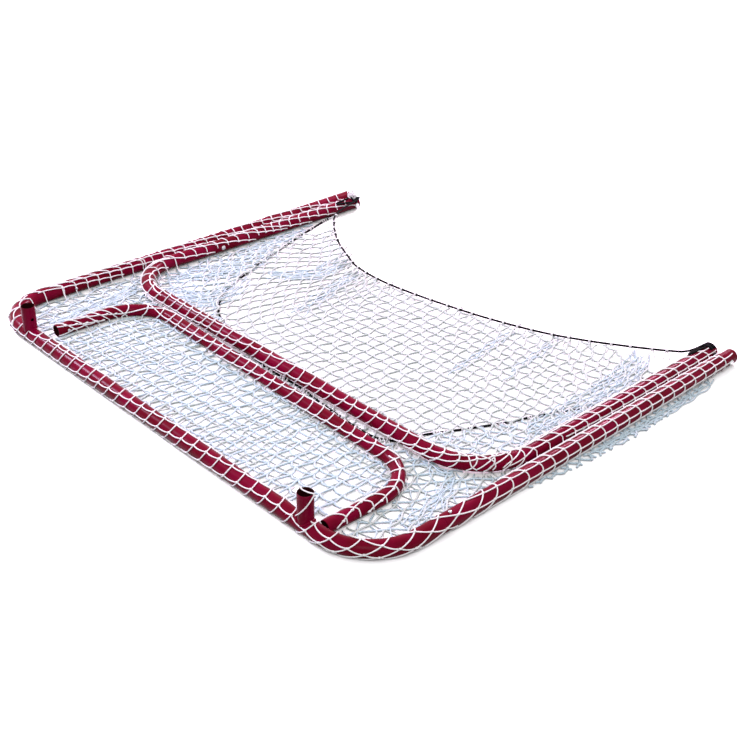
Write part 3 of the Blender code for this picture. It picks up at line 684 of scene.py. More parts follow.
def make_carriage_bolt(name, seat, way, length, body, node):
    """A mushroom-headed bolt: head outside its seat, plain shank, then thread rings to the tip."""
    threads = np.arange(length - THREADED, length - LIP, THREAD_PITCH / 2)
    depth = np.where(np.arange(len(threads)) % 2, THREAD_DEPTH, 0.0)
    profile = [(-rise, reach) for rise, reach in dome(HEAD_RADIUS, HEAD_HEIGHT, 0.0)][::-1]
    profile += [(0.0001, 0.0066), (0.0001, BOLT_RADIUS), (length - THREADED - 0.0005, BOLT_RADIUS)]
    profile += [(float(t), BOLT_RADIUS - float(d)) for t, d in zip(threads, depth)]
    profile += [(length, 0.0031), (length, POLE_RADIUS)]
    bolt = turned(name, seat, way, profile, ZINC, 32, sharp=50)
    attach(bolt, body)
    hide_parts(node)


def make_nut(name, seat, way, body, node):
    """A hexagon nut: half its width over the cosine of the angle from the nearest flat's middle.

    At both faces a cone turns the corners down to a circle.
    """
    seat, way = np.array(seat, float), np.array(way, float)
    angle = np.arange(NUT_SIDES) * 2 * pi / NUT_SIDES
    hexagon = NUT_ACROSS / 2 / np.cos((angle + pi / 6) % (pi / 3) - pi / 6)
    turned_down = np.minimum(hexagon, NUT_ACROSS / 2 * 1.03)
    rings = [(0.0, turned_down), (NUT_CHAMFER, hexagon), (NUT_THICK - NUT_CHAMFER, hexagon)]
    rings += [(NUT_THICK, turned_down), (NUT_THICK, 0 * hexagon + NUT_MOUTH)]
    rings += [(NUT_THICK - 0.0007, 0 * hexagon + NUT_BORE), (0.0, 0 * hexagon + NUT_BORE)]
    spoke = spokes(way, NUT_SIDES)
    points = np.stack([seat + way * rise + spoke * reach[:, None] for rise, reach in rings])
    nut = ring_piece(name, points, ZINC, sharp=25)
    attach(nut, body)
    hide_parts(node)


def make_plug(name, spot, tube_radius, wall, depth, body, node):
    """An end plug: a ribbed barrel in the bore and a domed flange over the tube's end."""
    bore, flange = tube_radius - wall - CLEARANCE, tube_radius - 0.0008
    profile = [(-depth, POLE_RADIUS)]
    profile += [(-depth + step * depth / 6, bore - (0.0009 if step % 2 else 0.0)) for step in range(6)]
    profile += [(0.0002, bore), (0.0003, flange - 0.0003), (0.0008, flange), (0.0014, flange - 0.0002)]
    profile += [(0.0021, flange - 0.0016), (0.0023, flange - 0.006)]
    profile += [(0.0021, 0.0055), (0.0017, 0.004), (0.0016, POLE_RADIUS)]
    plug = turned(name, spot, (0, 1, 0), profile, PLASTIC, 48)
    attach(plug, body)
    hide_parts(node)


def make_spacer(word):
    """The ring between a post and its arm, with its edges broken by half a millimetre."""
    low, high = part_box(word + "_hinge_spacer")
    reach, width, edge = (high.z - low.z) / 2, high.x - low.x, 0.0005
    profile = [(0, HOLE_RADIUS), (0, reach - edge), (edge, reach), (width - edge, reach)]
    profile += [(width, reach - edge), (width, HOLE_RADIUS)]
    seat = (low.x, HINGE_Y, HINGE_Z)
    spacer = turned(word + "_hinge_spacer_ring", seat, (1, 0, 0), profile, PLASTIC, 40, loop=True)
    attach(spacer, "front_frame")
    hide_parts(word + "_hinge_spacer")


bolt_y = ARM_JOINT_Y + ARM_BOLT_FROM_JOINT
bolt_z = float(base_height(bolt_y))
for word, side in (("left", -1), ("right", 1)):
    outer = side * (POST_X + FRAME_RADIUS + CLEARANCE)
    inner = side * (ARM_X - BASE_RADIUS - CLEARANCE)
    head, seat, way = (outer, HINGE_Y, HINGE_Z), (inner, HINGE_Y, HINGE_Z), (-side, 0, 0)
    length = abs(outer - inner) + NUT_THICK + 0.002
    make_carriage_bolt(word + "_hinge_carriage_bolt", head, way, length, "front_frame", word + "_hinge_bolt")
    make_nut(word + "_hinge_hex_nut", seat, way, "front_frame", word + "_hinge_nut")
    make_spacer(word)
    end = (side * POST_X, FOOT_Y, FRAME_RADIUS)
    name, node = word + "_foot_end_plug", word + "_foot_plug"
    make_plug(name, end, FRAME_RADIUS, FRAME_WALL, FOOT_PLUG_DEPTH, "front_frame", node)
    end = (side * ARM_X, ARM_END_Y, HINGE_Z)
    name, node = word + "_arm_tip_plug", word + "_arm_end_plug"
    make_plug(name, end, BASE_RADIUS, BASE_WALL, ARM_PLUG_DEPTH, "base_frame", node)
    reach, way = BASE_RADIUS + CLEARANCE, (side, 0, 0)
    head, seat = ((side * (ARM_X + across), bolt_y, bolt_z) for across in (-reach, reach))
    length = 2 * reach + NUT_THICK
    make_carriage_bolt(word + "_arm_carriage_bolt", head, way, length, "base_frame", word + "_arm_joint_bolt")
    make_nut(word + "_arm_hex_nut", seat, way, "base_frame", word + "_arm_joint_nut")
print("fittings made for both sides")

# %% [markdown]
# Cords and strands are swept tubes along listed points. A curve through the points that
# is smooth at each one, the Catmull-Rom spline, keeps their bends soft. The UV map runs in
# metres along the strand, for the lay of the twine and the braid of the cords.

# %% Tubes along many lines at once
def through(knots, steps):
    """Points on smooth lines through knots, by the Catmull-Rom formula, for many lines at once.

    knots has the shape (lines, knots, numbers); each stretch between two knots gets steps points.
    """
    first = 2 * knots[:, :1] - knots[:, 1:2]
    last = 2 * knots[:, -1:] - knots[:, -2:-1]
    spots = np.concatenate([first, knots, last], axis=1)
    a, b, c, d = (spots[:, None, shift : shift + knots.shape[1] - 1] for shift in range(4))
    t = np.linspace(0, 1, steps, endpoint=False)[None, :, None, None]
    curve = 0.5 * (2 * b + (c - a) * t + (2 * a - 5 * b + 4 * c - d) * t**2 + (3 * b - a - 3 * c + d) * t**3)
    curve = curve.transpose(0, 2, 1, 3).reshape(len(knots), -1, knots.shape[2])
    return np.concatenate([curve, knots[:, -1:]], axis=1)


def strand_block(points, normals, radius, sides=6, flat_way=None):
    """Round tubes along many lines of equal point count, as points, quads, caps and corner UVs.

    A ring stands square to the line, or to flat_way where that is given: its first axis is the
    way crossed with the normal, its second is the first crossed with the way, and radius times
    cosine and sine of the angle go along them.
    """
    lines, steps = points.shape[:2]
    way = np.gradient(points, axis=1)
    if flat_way is not None:
        way = np.broadcast_to(np.array(flat_way, float), points.shape).copy()
    way /= np.linalg.norm(way, axis=-1, keepdims=True) + 1e-12
    across = np.cross(way, normals)
    across /= np.linalg.norm(across, axis=-1, keepdims=True) + 1e-12
    lift = np.cross(across, way)
    angle = np.arange(sides) * 2 * pi / sides
    thick = np.broadcast_to(radius, (lines, steps))[..., None, None]
    rings = across[:, :, None] * np.cos(angle)[:, None] + lift[:, :, None] * np.sin(angle)[:, None]
    rings = points[:, :, None] + thick * rings
    quads, ring_of, side_of = ring_quads(steps, sides)
    start = np.arange(lines)[:, None, None] * steps * sides
    run = np.cumsum(np.linalg.norm(np.diff(points, axis=1, prepend=points[:, :1]), axis=-1), axis=1)
    uv = np.stack([run[:, ring_of], np.broadcast_to(side_of / sides, (lines, *side_of.shape))], axis=-1)
    cap = np.arange(sides)[None] + start[:, 0]
    return {
        "points": rings.reshape(-1, 3),
        "quads": (quads[None] + start).reshape(-1, 4),
        "caps": np.concatenate([cap, cap[:, ::-1] + (steps - 1) * sides]),
        "uv": uv.reshape(-1, 2),
    }


def piece_of_blocks(name, blocks, material):
    """One mesh object from several blocks of strands."""
    starts = np.cumsum([0] + [len(block["points"]) for block in blocks])
    quads, caps = (
        [face for block, start in zip(blocks, starts) for face in (block[kind] + start).tolist()]
        for kind in ("quads", "caps")
    )
    points = np.concatenate([block["points"] for block in blocks])
    uv = np.concatenate([block["uv"] for block in blocks] + [np.zeros((sum(map(len, caps)), 2))])
    return make_piece(name, points, quads + caps, material, uv=uv)


def run_of(points):
    """The length run along a line at each of its points."""
    return np.concatenate([[0], np.cumsum(np.linalg.norm(np.diff(points, axis=0), axis=-1))])


def base_plane(points):
    """Cord points, given with the crossbar's middle as y = 0, moved into the goal's frame."""
    return np.array(points, float) + np.array([0.0, CROSSBAR_Y, 0.0])


print("strand helpers ready")

# %% [markdown]
# The rim cord runs round the net's free edge and is lashed to the ends of both arms. The inner
# cord draws the net in. Both are elastic, so they pull to smooth slack curves, and their places
# were read off the photograph with the crossbar's middle as y = 0.

# %% The two elastic cords
RIM_CORD_POINTS = [
    (-0.607, 1.093, 0.030),
    (-0.549, 1.029, 0.026),
    (-0.458, 0.964, 0.022),
    (-0.345, 0.910, 0.018),
    (-0.287, 0.891, 0.016),
    (-0.185, 0.884, 0.014),
    (-0.066, 0.897, 0.012),
    (0.071, 0.920, 0.012),
    (0.177, 0.944, 0.012),
    (0.302, 0.980, 0.014),
    (0.400, 1.020, 0.017),
    (0.489, 1.067, 0.020),
    (0.585, 1.131, 0.021),
    (0.625, 1.163, 0.025),
]
INNER_CORD_POINTS = [
    (-0.6445, 1.100),
    (-0.631, 1.055),
    (-0.596, 0.941),
    (-0.552, 0.811),
    (-0.521, 0.728),
    (-0.492, 0.658),
    (-0.454, 0.563),
    (-0.417, 0.510),
    (-0.375, 0.466),
    (-0.329, 0.433),
    (-0.264, 0.414),
    (-0.170, 0.383),
    (-0.044, 0.352),
    (0.086, 0.351),
    (0.170, 0.342),
    (0.294, 0.332),
    (0.375, 0.335),
    (0.418, 0.366),
    (0.438, 0.425),
    (0.467, 0.481),
    (0.495, 0.537),
    (0.522, 0.591),
    (0.546, 0.656),
    (0.577, 0.725),
    (0.611, 0.792),
    (0.643, 0.850),
]
INNER_CORD_HEIGHT = 0.0030
LASH_PASSES = 4
LASH_TAIL = [(146, 0.034), (136, 0.050), (128, 0.070), (121, 0.086), (110, 0.090)]
LASH_TAIL += [(103, 0.078), (99, 0.060), (94, 0.044), (84, 0.034)]


def wrap_points(side):
    """A rim cord's end: lashed to and fro over the arm's end, then led along the arm and back.

    Each pass goes over the arm from its inner side to its outer side or back, one cord's width
    further along. The passes stay above the hinge's nut and spacer. Each place is an angle
    around the arm and a length from its end.
    """
    reach = BASE_RADIUS + CORD_RADIUS + 0.0004
    places = []
    for step in range(LASH_PASSES):
        arc = np.linspace(132 if step == 0 else 148, 56, 7)
        climb = 0.007 + 2.1 * CORD_RADIUS * (step + np.linspace(-0.3, 0.3, 7))
        places += list(zip(arc[::-1] if step % 2 else arc, climb))
    turn, from_end = np.array(places + LASH_TAIL).T
    turn = np.radians(turn)
    x, z = side * (ARM_X + reach * np.cos(turn)), HINGE_Z + reach * np.sin(turn)
    return np.column_stack([x, ARM_END_Y - from_end, z])


def cord_piece(name, knots, node):
    """A braided cord along a smooth line through its points."""
    line = through(knots[None], 8)
    normals = np.broadcast_to([0.05, 0.08, 1.0], line.shape)
    cord = piece_of_blocks(name, [strand_block(line, normals, CORD_RADIUS, 12)], ELASTIC)
    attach(cord, "base_frame")
    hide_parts(node)
    print(name, "length", round(float(run_of(line[0])[-1]), 3), "m")


rim_middle = base_plane(RIM_CORD_POINTS)
cord_piece("rim_elastic_cord", np.concatenate([wrap_points(-1)[::-1], rim_middle, wrap_points(1)]), "rim_cord")
inner_points = base_plane([(x, y, INNER_CORD_HEIGHT) for x, y in INNER_CORD_POINTS])
cord_piece("inner_elastic_cord", inner_points, "inner_cord")

# %% [markdown]
# The net is a white twine with a knot where every two strands cross. On the tubes each strand
# is placed by its run along the tube and its angle around it. Strands that cross the tube are
# called rounds here, and strands that follow it are alongs. An along is cut where it meets the
# rounds, so that it can sag a little from knot to knot as slack twine does.

# %% Strands laid on a tube
NET_RANDOM = np.random.default_rng(61)
SLACK_UP = (0.03, 0.05, 1.0)
KNOT_RADIUS = 0.0028
KNOT_LENGTH = 0.0075
USUAL_GAP = 0.036


def line_block(points, normals, radius=TWINE_RADIUS, sides=6):
    """One strand as a block: the strand helper with a single line."""
    return strand_block(np.asarray(points)[None], np.broadcast_to(normals, np.shape(points))[None], radius, sides)


def knot_block(spots, ways, normals, size=1.0):
    """Knots as short spindles of five rings along the way of the strand."""
    ways = ways / (np.linalg.norm(ways, axis=-1, keepdims=True) + 1e-12)
    spots = spots * (1, 1, 0) + np.maximum(spots[:, 2:], KNOT_RADIUS * size) * (0, 0, 1)
    along = np.array([-0.5, -0.3, 0.0, 0.3, 0.5]) * KNOT_LENGTH * size
    points = spots[:, None] + ways[:, None] * along[None, :, None]
    thick = np.array([0.55, 0.9, 1.0, 0.9, 0.55]) * KNOT_RADIUS * size
    return strand_block(points, np.broadcast_to(normals[:, None], points.shape), thick, 5)


def round_run(start, lean, bow, angle):
    """A round's run at an angle: start, plus lean times the angle past 60, less a bow squared."""
    tilt = np.clip(angle, -70, 125) - 60
    return start + lean * tilt / 1000 - bow * (tilt / 60) ** 2


def tube_points(line, radius, runs, angles):
    """Strand centres on a tube's skin, never under the floor, and the outward direction."""
    points, out = on_tube(line, runs, angles, radius + TWINE_RADIUS)
    points[..., 2] = np.maximum(points[..., 2], TWINE_RADIUS)
    return points, out


def floor_tail(last, out, drop, reach):
    """A strand's way from a tube's flank down to the floor, and out along it with a swerve."""
    aside = np.array([out[0], out[1], 0.0])
    aside /= np.linalg.norm(aside) + 1e-12
    swerve = np.array([-aside[1], aside[0], 0.0]) * NET_RANDOM.uniform(-0.3, 0.3) * reach
    share = np.array([0.25, 0.55, 1.0])
    points = last + aside * (drop * share)[:, None]
    points[:, 2] = TWINE_RADIUS + (last[2] - TWINE_RADIUS) * (1 - share) ** 1.6
    far = points[-1] + aside * (reach * np.array([0.4, 1.0]))[:, None] + swerve * np.array([[0.3], [1.0]])
    return np.concatenate([points, far])


def make_round(line, radius, place, low, high, tails):
    """A round's points: over the tube from its low to its high angle, with a tail at either end.

    A place is a start, a lean and a bow. A tail is its drop's and its run's reach on the floor.
    """
    angles = np.linspace(low, high, max(int((high - low) / 11), 4))
    points, out = tube_points(line, radius, round_run(*place, angles), angles)
    normals = out.copy()
    for end, tail in zip((0, -1), tails):
        if tail:
            more = floor_tail(points[end], out[end], *tail)
            up = np.broadcast_to([0.02, 0.03, 1.0], more.shape)
            if end == 0:
                points, normals = np.concatenate([more[::-1], points]), np.concatenate([up, normals])
            else:
                points, normals = np.concatenate([points, more]), np.concatenate([normals, up])
    return points, normals


def make_along(line, radius, way, rounds, sag):
    """An along's strand and its knots: cut where it meets the rounds, sagging between them."""
    way = through(np.array([way], float), 14)[0]
    meets = []
    for place in rounds:
        off = way[:, 0] - round_run(*place, way[:, 1])
        for spot in np.nonzero(np.diff(np.sign(off)))[0]:
            share = off[spot] / (off[spot] - off[spot + 1])
            meets.append(way[spot] + share * (way[spot + 1] - way[spot]))
    meets = np.array(sorted(meets, key=lambda pair: pair[0])) if meets else np.zeros((0, 2))
    if way[0, 0] > way[-1, 0]:
        way = way[::-1]
    knots = np.concatenate([way[:1], meets, way[-1:]])
    knots = knots[np.concatenate([[True], np.diff(knots[:, 0]) > 0.004])]
    if len(knots) < 2:
        return None, meets
    share = np.linspace(0, 1, 7)[:-1]
    span = np.diff(knots, axis=0)
    sags = sag * np.minimum(np.abs(span[:, :1]) / USUAL_GAP, 1.3) * 4 * share * (1 - share)
    run = knots[:-1, :1] + span[:, :1] * share
    angle = knots[:-1, 1:] + span[:, 1:] * share - sags
    path = np.column_stack([np.append(run, knots[-1, 0]), np.append(angle, knots[-1, 1])])
    points, out = tube_points(line, radius, path[:, 0], path[:, 1])
    return (points, out), meets


def tube_net(line, radius, rounds, alongs, sag=7.0):
    """Alongs and knots on a tube, as blocks; the rounds come from make_round."""
    blocks, knots = [], []
    for way in alongs:
        strand, meets = make_along(line, radius, way, rounds, sag)
        if strand:
            blocks.append(line_block(*strand))
        knots.append(meets)
    knots = np.concatenate(knots)
    spots, out = tube_points(line, radius, knots[:, 0], knots[:, 1])
    ahead, _ = tube_points(line, radius, knots[:, 0] + 0.004, knots[:, 1])
    blocks.append(knot_block(spots, ahead - spots, out))
    return blocks


print("twine", 2000 * TWINE_RADIUS, "mm, knots", 2000 * KNOT_RADIUS, "mm")

# %% [markdown]
# The front frame's net: the rounds stand about 41 mm apart on the crossbar, and 38 mm on the
# left post and 43.5 mm on the right. The alongs climb over the tube at a slant, as the net was
# pulled on askew. Each of their points is a run along the tube in metres and an angle around it.

# %% Strand places on the front frame
CROSSBAR_ROUNDS = np.concatenate(
    [
        [1.10, 1.145, 1.19, 1.235, 1.28, 1.32],
        np.linspace(1.36, 2.38, 26),
        [2.435, 2.485, 2.532, 2.582, 2.635, 2.695, 2.765, 2.83],
        np.arange(2.875, 3.04, 0.045),
    ]
)
FRONT_LEAN = (
    [0, 0.45, 0.49, 0.79, 0.84, 1.1, 1.3, 2.38, 2.54, 2.64, 2.77, 2.95, 3.8],
    [0.5, 0.5, 0, 0, -0.6, -0.6, 0, 0, 0.3, 0.57, 0.77, -0.1, -0.1],
)
CROSSBAR_ALONGS = [
    [(1.36, 57), (1.40, 66), (1.45, 86), (1.52, 88), (1.55, 92), (1.60, 105), (1.66, 130), (1.70, 148)],
    [
        (1.28, 20), (1.36, 8), (1.45, 0), (1.53, -4), (1.60, 14), (1.68, 38), (1.75, 52), (1.82, 68),
        (1.87, 78), (1.93, 100), (1.97, 115), (2.06, 131), (2.12, 148),
    ],
    [
        (1.70, -30), (1.80, 0), (1.88, 12), (1.95, 30), (2.02, 50), (2.06, 58), (2.12, 75), (2.18, 90),
        (2.25, 115), (2.33, 145),
    ],
    [
        (2.02, -20), (2.08, -5), (2.14, 3), (2.20, 20), (2.26, 40), (2.30, 50), (2.34, 53), (2.38, 48),
        (2.42, 25), (2.46, 5), (2.50, -20),
    ],
    [(2.33, 148), (2.35, 130), (2.40, 100), (2.44, 80), (2.48, 52), (2.52, 25), (2.555, -5), (2.58, -25)],
    [(2.51, 130), (2.54, 100), (2.56, 75), (2.585, 45), (2.62, 10), (2.65, -15)],
    [(2.62, 140), (2.64, 120), (2.65, 85), (2.68, 40), (2.72, 10), (2.75, -15)],
    [(1.15, 90), (1.22, 115), (1.26, 95), (1.28, 60), (1.29, 20)],
    [(1.30, 120), (1.40, 128), (1.50, 140), (1.56, 150)],
    [(1.45, -40), (1.58, -38), (1.70, -30)],
    [(1.90, -42), (2.02, -20)],
]
RIGHT_POST_ALONGS = [
    [
        (2.70, 115), (2.72, 85), (2.76, 45), (2.80, 25), (2.82, 20), (3.0, 15), (3.1, 17), (3.2, 22),
        (3.3, 26), (3.4, 30), (3.5, 34), (3.6, 40), (3.7, 50), (3.74, 58),
    ],
    [
        (2.79, 110), (2.83, 88), (2.87, 80), (2.95, 74), (3.05, 70), (3.15, 72), (3.25, 76), (3.4, 80),
        (3.55, 84), (3.70, 92),
    ],
    [(2.90, 128), (3.0, 126), (3.15, 120), (3.3, 122), (3.45, 126), (3.6, 130), (3.72, 134)],
    [(2.80, -30), (2.95, -36), (3.1, -34), (3.25, -25), (3.4, -18), (3.5, -12), (3.62, -2), (3.72, 10)],
]
LEFT_POST_ALONGS = [
    [(0.02, 200), (0.10, 165), (0.16, 135), (0.22, 112), (0.28, 95), (0.34, 75)],
    [(0.12, 200), (0.20, 175), (0.27, 150), (0.33, 130), (0.39, 110), (0.46, 90)],
    [
        (0.30, 200), (0.40, 165), (0.45, 155), (0.50, 140), (0.55, 125), (0.60, 115), (0.65, 100),
        (0.72, 80),
    ],
    [
        (0.45, 200), (0.50, 175), (0.55, 165), (0.60, 150), (0.65, 140), (0.70, 130), (0.75, 115),
        (0.85, 112), (0.905, 95), (0.95, 75),
    ],
    [(0.66, 195), (0.72, 175), (0.80, 158), (0.88, 145), (0.95, 128), (1.02, 112), (1.08, 90)],
    [(0.86, 190), (0.93, 172), (1.0, 155), (1.06, 140), (1.12, 120)],
    [(0.0, 60), (0.15, 40), (0.35, 20), (0.6, 5), (0.85, 15), (1.05, 30), (1.2, 10)],
]


def front_rounds(starts, bow=0.010):
    """Each round's start, lean and bow on the front frame."""
    return [(start, float(np.interp(start, *FRONT_LEAN)), bow) for start in starts]


crossbar_rounds = front_rounds(CROSSBAR_ROUNDS)
front_blocks = []
for place in crossbar_rounds:
    inner = (0.016, float(NET_RANDOM.uniform(0.03, 0.05)))
    front_blocks.append(line_block(*make_round(FRONT, FRAME_RADIUS, place, -62, 150, (None, inner))))
front_blocks += tube_net(FRONT, FRAME_RADIUS, crossbar_rounds, CROSSBAR_ALONGS)
print("front frame strands:", len(front_blocks))

# %% [markdown]
# One strand is caught on the right socket. It climbs the tube, crosses the open top and winds
# down the other side. Each of its points is an angle, a share of the tube's radius and a height.

# %% The strand on the right socket
SOCKET_STRAND = [(150, 1, 0.030), (165, 1, 0.070), (176, 1, 0.096), (176, 0.93, 0.0995), (178, 0.4, 0.0985)]
SOCKET_STRAND += [(30, 0.4, 0.0982), (22, 0.93, 0.0995), (20, 1, 0.0965), (0, 1, 0.091), (-25, 1, 0.081)]
SOCKET_STRAND += [(-55, 1, 0.068), (-85, 1, 0.056), (-112, 1, 0.048), (-130, 1.03, 0.0425)]
socket_low, socket_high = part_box("right_shelf_socket")
socket_x = (socket_low.x + socket_high.x) / 2
socket_reach = (socket_high.x - socket_low.x) / 2 + TWINE_RADIUS
strand = [
    (socket_x + socket_reach * part * cos(radians(turn)), CROSSBAR_Y + socket_reach * part * sin(radians(turn)), z)
    for turn, part, z in SOCKET_STRAND
]
front_blocks.append(line_block(through(np.array([strand]), 4)[0], (0.21, -0.17, 0.96)))
print("socket strand round x", round(socket_x, 4))

# %% [markdown]
# The base bar and the shelf carry their rounds closer, about 36 mm apart. At the base bar's
# right corner the alongs cross, because two pieces of net overlap there.

# %% Strand places on the base frame and the shelf
BASE_ROUNDS = np.array(
    "0.72 0.765 0.81 0.85 0.89 0.93 0.97 1.005 1.04 1.07 1.105 1.14 1.17 1.20 1.24 1.275 1.315 "
    "1.355 1.39 1.43 1.475 1.515 1.55 1.588 1.625 1.66 1.70 1.732 1.768 1.80 1.833 1.868 1.90 "
    "1.935 1.97 2.00 2.035 2.07 2.105 2.14 2.17".split(),
    float,
)
BASE_ALONGS = [
    [(0.90, 120), (0.97, 95), (1.04, 78), (1.14, 78), (1.22, 88), (1.30, 104), (1.38, 125), (1.44, 146)],
    [
        (0.80, 20), (0.95, 0), (1.1, 0), (1.15, 15), (1.20, 20), (1.25, 25), (1.30, 35), (1.35, 55),
        (1.40, 65), (1.45, 80), (1.50, 100), (1.56, 125), (1.60, 146),
    ],
    [
        (1.38, -20), (1.45, -5), (1.5, 10), (1.55, 15), (1.6, 33), (1.65, 42), (1.70, 48), (1.75, 58),
        (1.80, 68), (1.85, 75), (1.90, 85), (1.95, 105), (2.0, 125),
    ],
    [(1.80, -25), (1.87, -10), (1.90, 5), (1.93, 30), (1.97, 50), (2.02, 72), (2.07, 95), (2.12, 120)],
    [(1.90, -18), (1.95, 0), (2.0, 20), (2.03, 35), (2.06, 55), (2.10, 80), (2.14, 105)],
    [(0.74, 190), (0.80, 150), (0.85, 120), (0.90, 95), (0.94, 70), (0.98, 45)],
    [(0.72, 120), (0.76, 90), (0.80, 60), (0.85, 25), (0.90, -5)],
]
BASE_CORNER_CROSSINGS = [
    [(2.03, 110), (2.05, 80), (2.055, 50), (2.06, 10), (2.07, -15)],
    [(2.06, 120), (2.08, 85), (2.10, 50), (2.105, 15), (2.10, -15)],
    [(2.12, 125), (2.11, 90), (2.10, 60), (2.085, 25), (2.07, -10)],
    [(2.15, 120), (2.14, 85), (2.12, 50), (2.10, 20), (2.09, -10)],
    [(2.18, 115), (2.165, 80), (2.15, 50), (2.13, 20), (2.12, -5)],
]
SHELF_ROUNDS = np.array(
    "0.022 0.052 0.085 0.115 0.14 0.17 0.205 0.26 0.31 0.355 0.39 0.425 0.46 0.497 0.535 0.565 "
    "0.60 0.64 0.675 0.705 0.742 0.778 0.81 0.85 0.885 0.92 0.955 0.99 1.03 1.065 1.10 1.135 "
    "1.168 1.21 1.25 1.29 1.325 1.36 1.395 1.43 1.465".split(),
    float,
)
SHELF_LEG_RUNS = (0.2, 1.30)
SHELF_ALONGS = [
    [(0.0, 62), (0.03, 45), (0.07, 20), (0.10, 5), (0.13, -15)],
    [(0.0, -25), (0.03, -8), (0.06, 4), (0.10, -4)],
    [
        (0.04, 100), (0.07, 80), (0.10, 60), (0.14, 30), (0.17, 12), (0.22, 5), (0.24, 30), (0.26, 55),
        (0.30, 90), (0.34, 120), (0.38, 146),
    ],
    [
        (0.24, 130), (0.255, 110), (0.27, 60), (0.29, 35), (0.30, 27), (0.35, 25), (0.42, 28), (0.46, 40),
        (0.50, 45), (0.53, 60), (0.56, 75), (0.60, 85), (0.65, 105), (0.70, 130),
    ],
    [
        (0.56, -18), (0.62, 0), (0.65, 5), (0.68, 25), (0.72, 35), (0.75, 52), (0.80, 65), (0.85, 90),
        (0.90, 110), (0.96, 140),
    ],
    [
        (0.84, -18), (0.90, 0), (0.95, 10), (1.0, 25), (1.05, 35), (1.1, 50), (1.14, 75), (1.18, 110),
        (1.20, 140),
    ],
    [(1.19, 60), (1.215, 85), (1.24, 100), (1.29, 115), (1.33, 135), (1.365, 160), (1.39, 185)],
    [(1.36, 70), (1.40, 95), (1.43, 125), (1.455, 160), (1.47, 185)],
]


def varied_rounds(starts, lean=0.0, bow=0.0105):
    """Rounds whose lean differs a little from one to the next."""
    return [(start, lean + float(NET_RANDOM.uniform(-0.06, 0.06)), bow) for start in starts]


base_rounds = varied_rounds(BASE_ROUNDS)
base_blocks = []
for place in base_rounds:
    tails = ((0.004, 0.002), (0.016, float(NET_RANDOM.uniform(0.02, 0.03))))
    base_blocks.append(line_block(*make_round(BASE, BASE_RADIUS, place, -25, 150, tails)))
base_blocks += tube_net(BASE, BASE_RADIUS, base_rounds, BASE_ALONGS)
for way in BASE_CORNER_CROSSINGS:
    runs, angles = through(np.array([way], float), 6)[0].T
    base_blocks.append(line_block(*tube_points(BASE, BASE_RADIUS, runs, angles)))

shelf_rounds = varied_rounds(SHELF_ROUNDS)
shelf_blocks = []
for place in shelf_rounds:
    if SHELF_LEG_RUNS[0] <= place[0] <= SHELF_LEG_RUNS[1]:
        high, far = 158, (0.004, 0.001)
    else:
        place, high, far = (place[0], -0.32, 0.0), 190, None
    tails = ((0.006, 0.014), far)
    shelf_blocks.append(line_block(*make_round(SHELF, SHELF_RADIUS, place, -25, high, tails)))
shelf_blocks += tube_net(SHELF, SHELF_RADIUS, shelf_rounds, SHELF_ALONGS)
shelf_net = piece_of_blocks("shelf_net_strands", shelf_blocks, TWINE)
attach(shelf_net, "shelf")
print("base frame strands:", len(base_blocks), "shelf strands:", len(shelf_blocks))

# %% [markdown]
# Along both sides the net lies over the post and the arm together. Each side round is three
# strands: an arc that rides on the arm, an arc that rides on the post, and a span that sags
# between them into the groove. The spans are a piece of their own, and they are the part of
# the net that becomes the goal's side net when the goal stands.

# %% Side nets over the arms and posts
LEFT_SPACING, RIGHT_SPACING = 0.038, 0.0435
LEFT_POST_AHEAD, RIGHT_POST_AHEAD = 0.014, 0.852
RIGHT_ARM_LEAN, RIGHT_POST_LEAN = -0.3, -0.1
SIDE_BOW = 0.006
INNER_ANGLE = 168
OUTER_ANGLES = {"left": -50, "right": -40}
SPAN_STEPS = 19
SPAN_SAG = 0.0012
GROOVE_STEPS, GROOVE_DROPS = (4, 6, 9, 12, 14), (0.012, 0.011, 0.009, 0.006, 0.003)
LONE_ROUNDS = np.arange(0.73, 1.09, USUAL_GAP)
RIGHT_ARM_ALONGS = [
    [
        (2.13, 0), (2.14, 20), (2.17, 45), (2.2, 57), (2.3, 52), (2.4, 55), (2.5, 56), (2.6, 60),
        (2.7, 64), (2.75, 68), (2.8, 72), (2.88, 76),
    ],
    [
        (2.16, 110), (2.26, 104), (2.36, 106), (2.46, 110), (2.56, 114), (2.66, 118), (2.76, 122),
        (2.83, 126),
    ],
    [(2.30, 20), (2.42, 12), (2.55, 16), (2.7, 22), (2.8, 27), (2.89, 32)],
    [(2.18, 150), (2.30, 142), (2.42, 150), (2.55, 156), (2.70, 160)],
]
LEFT_ARM_ALONGS = [
    [(0.42, 200), (0.5, 155), (0.58, 120), (0.62, 100), (0.66, 75)],
    [(0.57, 195), (0.65, 165), (0.73, 140), (0.76, 110), (0.80, 80)],
    [(0.3, 190), (0.4, 150), (0.45, 110), (0.50, 80)],
    [(0.2, 205), (0.3, 170), (0.37, 120), (0.42, 85)],
    [(0.1, 200), (0.2, 155), (0.3, 110), (0.35, 85)],
    [(0.01, 190), (0.08, 150), (0.16, 110), (0.22, 80)],
]


def side_places(word, arm_start):
    """Start, lean and bow of one side round on the arm, and on the post beside it."""
    if word == "right":
        places = (arm_start, RIGHT_ARM_LEAN), (arm_start + RIGHT_POST_AHEAD, RIGHT_POST_LEAN)
    else:
        post_start = arm_start + LEFT_POST_AHEAD
        arm_lean = float(np.interp(arm_start, [0.3, 0.42], [0.5, 0.0]))
        places = (arm_start, arm_lean), (post_start, float(np.interp(post_start, *FRONT_LEAN)) * 0.6)
    return [(start, lean, SIDE_BOW) for start, lean in places]


